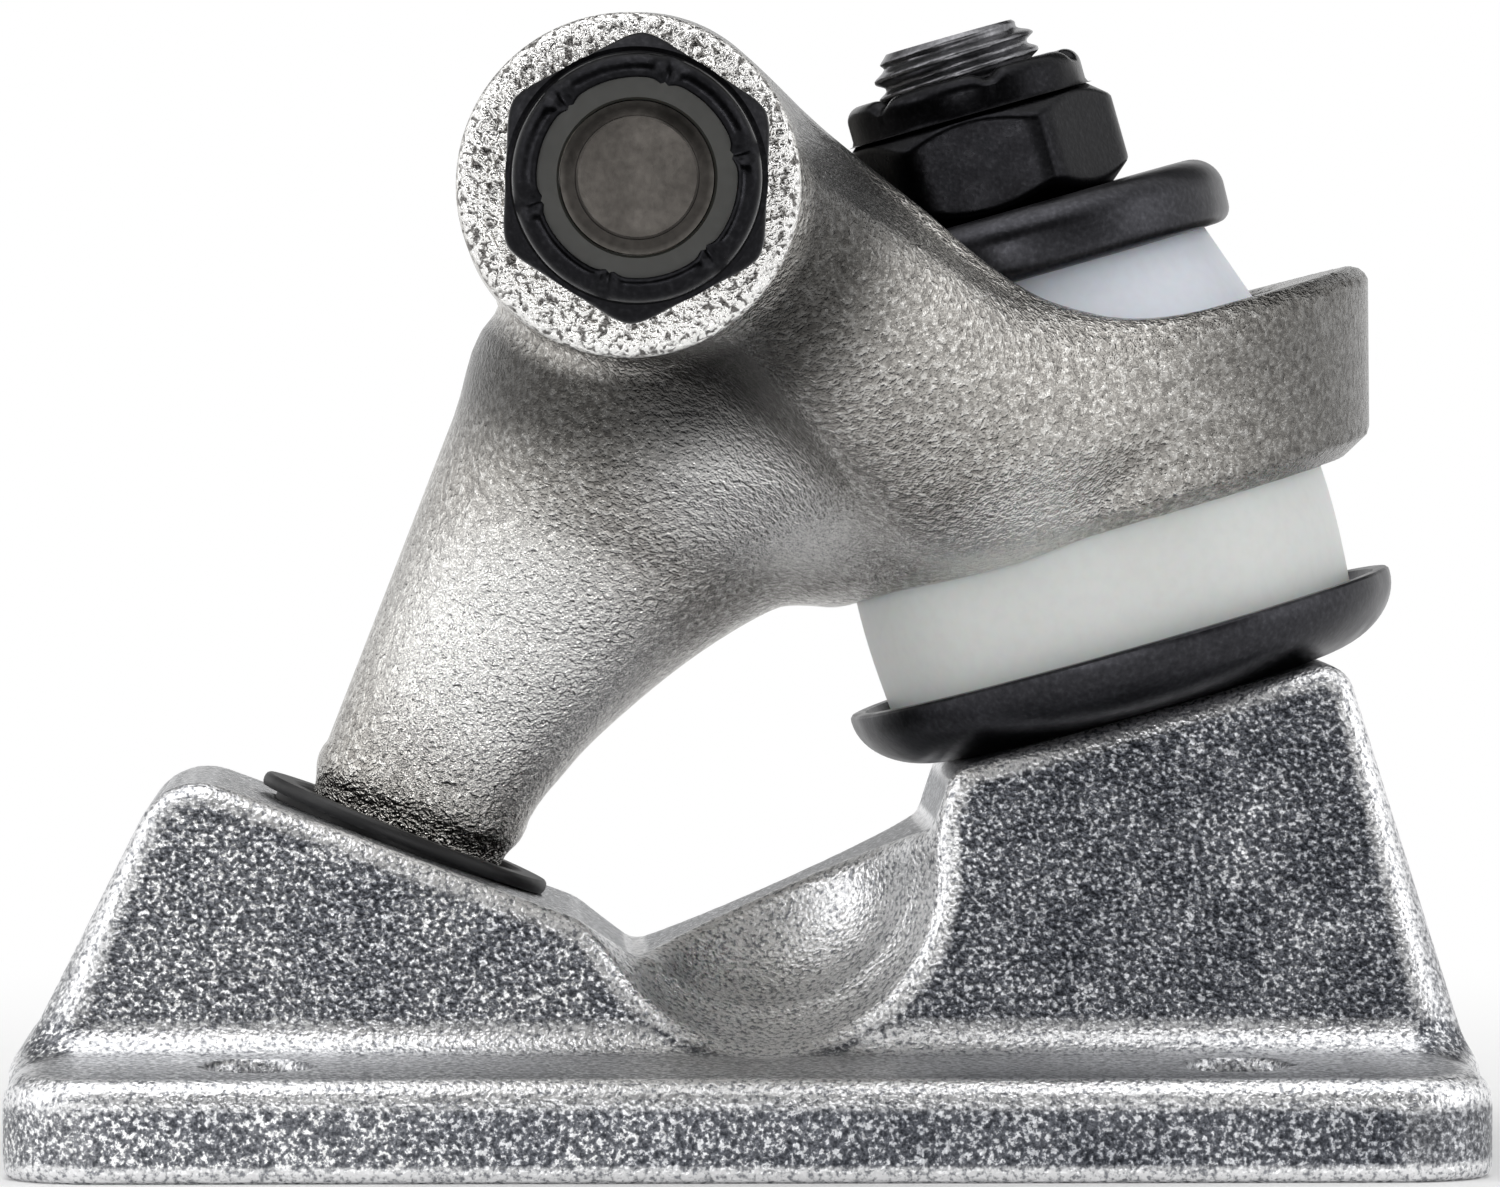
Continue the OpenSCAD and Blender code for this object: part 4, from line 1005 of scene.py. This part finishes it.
class TRUCK_OT_axle(bpy.types.Operator):
    """Axle with threaded ends, and its speed washers"""

    bl_idname = "truck.axle"
    bl_label = "Axle and Speed Washers"
    bl_options = {"REGISTER", "UNDO"}

    def execute(self, context):
        """Turn the axle from one threaded end to the other, then four flat washers."""
        look = context.scene.truck_look
        turns = 64
        ones = np.ones((turns, 1))
        up = np.linspace(THREAD_START, AXLE_END - 0.9, 110)
        fade = np.clip((up - THREAD_START) / 0.8, 0, 1) * np.clip((AXLE_END - 0.9 - up) / 0.3, 0, 1)
        thread = THREAD_R - THREAD_DEEP * thread_wave(turns, up, look.pitch / MM) * fade
        back = THREAD_R - THREAD_DEEP * thread_wave(turns, -up, look.pitch / MM) * fade
        plain = profile((JOURNAL_R - 0.1, -THREAD_START + 0.05), (JOURNAL_R, -THREAD_START + 0.3),
                        (JOURNAL_R, -HANGER_HALF - 0.05), (CORE_R - 0.02, -HANGER_HALF),
                        (CORE_R - 0.02, HANGER_HALF), (JOURNAL_R, HANGER_HALF + 0.05),
                        (JOURNAL_R, THREAD_START - 0.3), (JOURNAL_R - 0.1, THREAD_START - 0.05))
        tip = profile((3.3, AXLE_END - 0.75), (3.02, AXLE_END - 0.6), (2.97, AXLE_END - 0.1),
                      (2.87, AXLE_END), (1.5, AXLE_END), (0, AXLE_END))
        start = tip[::-1] * [1, -1]
        radius = np.concatenate([start[None, :, 0] * ones, back[:, ::-1], plain[None, :, 0] * ones, thread,
                                 tip[None, :, 0] * ones], axis=1)
        heights = np.concatenate([start[:, 1], -up[::-1], plain[:, 1], up, tip[:, 1]])[None] * ones
        axle_colour = tuple(look.axle_colour)
        grey = steel("bright_steel_axle", axle_colour, grit=0.0004, roughness=0.36, depth=0.1,
                     stain=(0.1003, srgb("#45423f")))
        piece = make_turned("axle_rod", (radius, heights), on_axle(0, 1), grey, closed=False)
        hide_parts("axle")
        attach(piece, "hanger")
        zinc = steel("zinc_plated_steel_washers", axle_colour, grit=0.0005, roughness=0.3, depth=0.08)
        flat = ring_profile(JOURNAL_R + 0.08, 6.1, 0, 0.97, 0.14)
        for side, end in ((-1, "front"), (1, "back")):
            for number, where in ((2, "inner"), (1, "outer")):
                name = f"speed_washer_{end}_{where}"
                place = on_axle(NUT_FACE - number, side)
                piece = make_turned(name + "_steel", flat, place, zinc, turns=96)
                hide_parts(name)
                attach(piece, f"{end}_washers")
        return {"FINISHED"}


class TRUCK_OT_pivot_cup(bpy.types.Operator):
    """Pivot cup with its flange"""

    bl_idname = "truck.pivot_cup"
    bl_label = "Pivot Cup"
    bl_options = {"REGISTER", "UNDO"}

    def execute(self, context):
        """Turn the cup: a plain wall, a thin flange, a flared mouth and a ball seat."""
        flange = arc(8.45, -0.4, 0.15, 0.35, -60, 60, 5)
        seat = arc(0, -5.0, 5.5, 5.5, -4, -90, 14)
        cup = profile((0, -CUP_DEEP), (CUP_R - 0.5, -CUP_DEEP), (CUP_R, 0.5 - CUP_DEEP), (CUP_R, -0.75),
                      (8.5, -0.75), flange, (8.4, 0), (7.0, 0), (6.8, -0.15), (5.5, -4.9), seat)
        rubber = poured("black_urethane_cup", srgb("#161617"), roughness=0.5, glow=0.0, speck=0.0006)
        piece = make_turned("pivot_cup_urethane", cup, ON_PIVOT, rubber, closed=False,
                            turns=128)
        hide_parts("pivot_cup")
        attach(piece, "base")
        return {"FINISHED"}


class TRUCK_OT_stage(bpy.types.Operator):
    """Pale floor, soft studio light and the camera at the photograph's angle"""

    bl_idname = "truck.stage"
    bl_label = "Stage"
    bl_options = {"REGISTER", "UNDO"}

    def execute(self, context):
        """Set the world, floor, dark cards, lamps and camera."""
        scene = context.scene
        scene.view_settings.view_transform = "Standard"
        self.world(scene)
        self.floor(scene)
        self.card(scene, "dark_card_front", -4.2, 0.7)
        self.card(scene, "dark_card_back", 4.2, 2.0)
        # Name, place, width and height in metres, and power in watts
        self.lamp(scene, "lamp_top", (-0.15, -0.25, 1.3), 1.1, 1.1, 5.6)
        self.lamp(scene, "lamp_left", (-1.2, -0.35, 0.55), 0.7, 1.0, 2.8)
        self.lamp(scene, "lamp_right", (1.2, -0.35, 0.5), 0.7, 1.0, 2.5)
        self.lamp(scene, "lamp_front", (-0.25, -1.6, 0.03), 0.8, 0.25, 5.0)
        self.camera(scene)
        return {"FINISHED"}

    def camera(self, scene):
        """Long lens in front of the truck, a little above its middle, that looks along the axle."""
        data = bpy.data.cameras.new("photo_camera")
        data.lens = 283
        data.sensor_width = 36
        data.clip_end = 100
        camera = bpy.data.objects.new("photo_camera", data)
        camera.location = Vector((-14.2, -670.0, 47.7)) * MM
        aim = Vector((0.57, 0.0, 31.6)) * MM - camera.location
        camera.rotation_mode = "QUATERNION"
        camera.rotation_quaternion = aim.to_track_quat("-Z", "Y")
        scene.collection.objects.link(camera)
        scene.camera = camera

    def world(self, scene):
        """White where it is seen, in reflections too, and a softer grey as plain light."""
        scene.world = bpy.data.worlds.new("studio")
        scene.world.use_nodes = True
        tree = scene.world.node_tree
        tree.nodes.clear()
        path = node(tree, "ShaderNodeLightPath")
        seen = node(tree, MATH, {0: path.outputs["Is Camera Ray"], 1: path.outputs["Is Glossy Ray"]},
                    operation="MAXIMUM")
        seen = node(tree, MATH, {0: seen.outputs[0], 1: path.outputs["Is Transmission Ray"]},
                    operation="MAXIMUM")
        plain = node(tree, "ShaderNodeBackground", {"Color": (1, 1, 1, 1), "Strength": 0.66})
        white = node(tree, "ShaderNodeBackground", {"Color": (1, 1, 1, 1), "Strength": 1.0})
        both_kinds = node(tree, "ShaderNodeMixShader", {"Fac": seen.outputs[0], 1: plain.outputs[0],
                                                        2: white.outputs[0]})
        node(tree, "ShaderNodeOutputWorld", {"Surface": both_kinds.outputs[0]})

    def plane(self, scene, name, corners, material):
        """Flat object of one face through four corners."""
        mesh = bpy.data.meshes.new(name)
        mesh.from_pydata(corners, [], [(0, 1, 2, 3)])
        mesh.materials.append(material)
        made = bpy.data.objects.new(name, mesh)
        scene.collection.objects.link(made)
        return made

    def floor(self, scene):
        """Pale floor that takes the truck's shadow near it and runs out to the white of the background."""
        pale = (*srgb("#f7f7f7"), 1)
        material, tree, shader, coords = new_material("pale_floor", Roughness=0.8, Base_Color=pale)
        away = node(tree, VECTOR, {0: coords}, operation="LENGTH")
        far = node(tree, RANGE, {"Value": away.outputs["Value"], "From Min": 0.055, "From Max": 0.2},
                   interpolation_type="SMOOTHSTEP")
        glow = node(tree, "ShaderNodeEmission", {"Color": (1, 1, 1, 1), "Strength": 1.0})
        blend = node(tree, "ShaderNodeMixShader", {"Fac": far.outputs["Result"], 1: shader.outputs[0],
                                                   2: glow.outputs[0]})
        tree.links.new(blend.outputs[0], tree.nodes["Material Output"].inputs["Surface"])
        corners = [(-20, -20, 0), (20, -20, 0), (20, 20, 0), (-20, 20, 0)]
        floor = self.plane(scene, "floor", corners, material)

    def card(self, scene, name, y, low):
        """Dark card far in front or behind, seen only in reflections, so that upright metal reads dark."""
        material = new_material(name, Roughness=0.9, Base_Color=(*srgb("#272728"), 1))[0]
        corners = [(-5.0, y, low), (5.0, y, low), (5.0, y, 6.0), (-5.0, y, 6.0)]
        card = self.plane(scene, name, corners, material)
        card.visible_camera = False
        card.visible_diffuse = False
        card.visible_shadow = False

    def lamp(self, scene, name, place, wide, high, power):
        """Soft area lamp that looks at the middle of the truck."""
        data = bpy.data.lights.new(name, "AREA")
        data.shape = "RECTANGLE"
        data.size = wide
        data.size_y = high
        data.energy = power
        lamp = bpy.data.objects.new(name, data)
        lamp.location = place
        lamp.rotation_mode = "QUATERNION"
        lamp.rotation_quaternion = (Vector((0, 0, 0.03)) - lamp.location).to_track_quat("-Z", "Y")
        lamp.visible_camera = False
        scene.collection.objects.link(lamp)


OPERATORS = (
    TRUCK_OT_baseplate,
    TRUCK_OT_hanger,
    TRUCK_OT_bushings,
    TRUCK_OT_cup_washers,
    TRUCK_OT_kingpin,
    TRUCK_OT_lock_nuts,
    TRUCK_OT_axle,
    TRUCK_OT_pivot_cup,
    TRUCK_OT_stage,
)


class TRUCK_PT_panel(bpy.types.Panel):
    """Sidebar panel with the truck's settings and its pieces"""

    bl_idname = "TRUCK_PT_panel"
    bl_label = "Skateboard Truck"
    bl_space_type = "VIEW_3D"
    bl_region_type = "UI"
    bl_category = "Truck"

    def draw(self, context):
        """List the settings, then a button for each piece."""
        for name in TruckLook.__annotations__:
            self.layout.prop(context.scene.truck_look, name)
        for operator in OPERATORS:
            self.layout.operator(operator.bl_idname)


CLASSES = (TruckLook, *OPERATORS, TRUCK_PT_panel)


def register():
    """Register the classes and hang the settings on the scene."""
    for cls in CLASSES:
        bpy.utils.register_class(cls)
    bpy.types.Scene.truck_look = PointerProperty(type=TruckLook)


def unregister():
    """Take the settings and the classes away again."""
    del bpy.types.Scene.truck_look
    for cls in reversed(CLASSES):
        bpy.utils.unregister_class(cls)


def main():
    """Build every piece and the stage."""
    register()
    bpy.ops.truck.baseplate()
    bpy.ops.truck.hanger()
    bpy.ops.truck.bushings()
    bpy.ops.truck.cup_washers()
    bpy.ops.truck.kingpin()
    bpy.ops.truck.lock_nuts()
    bpy.ops.truck.axle()
    bpy.ops.truck.pivot_cup()
    bpy.ops.truck.stage()


if __name__ == "__main__":
    main()
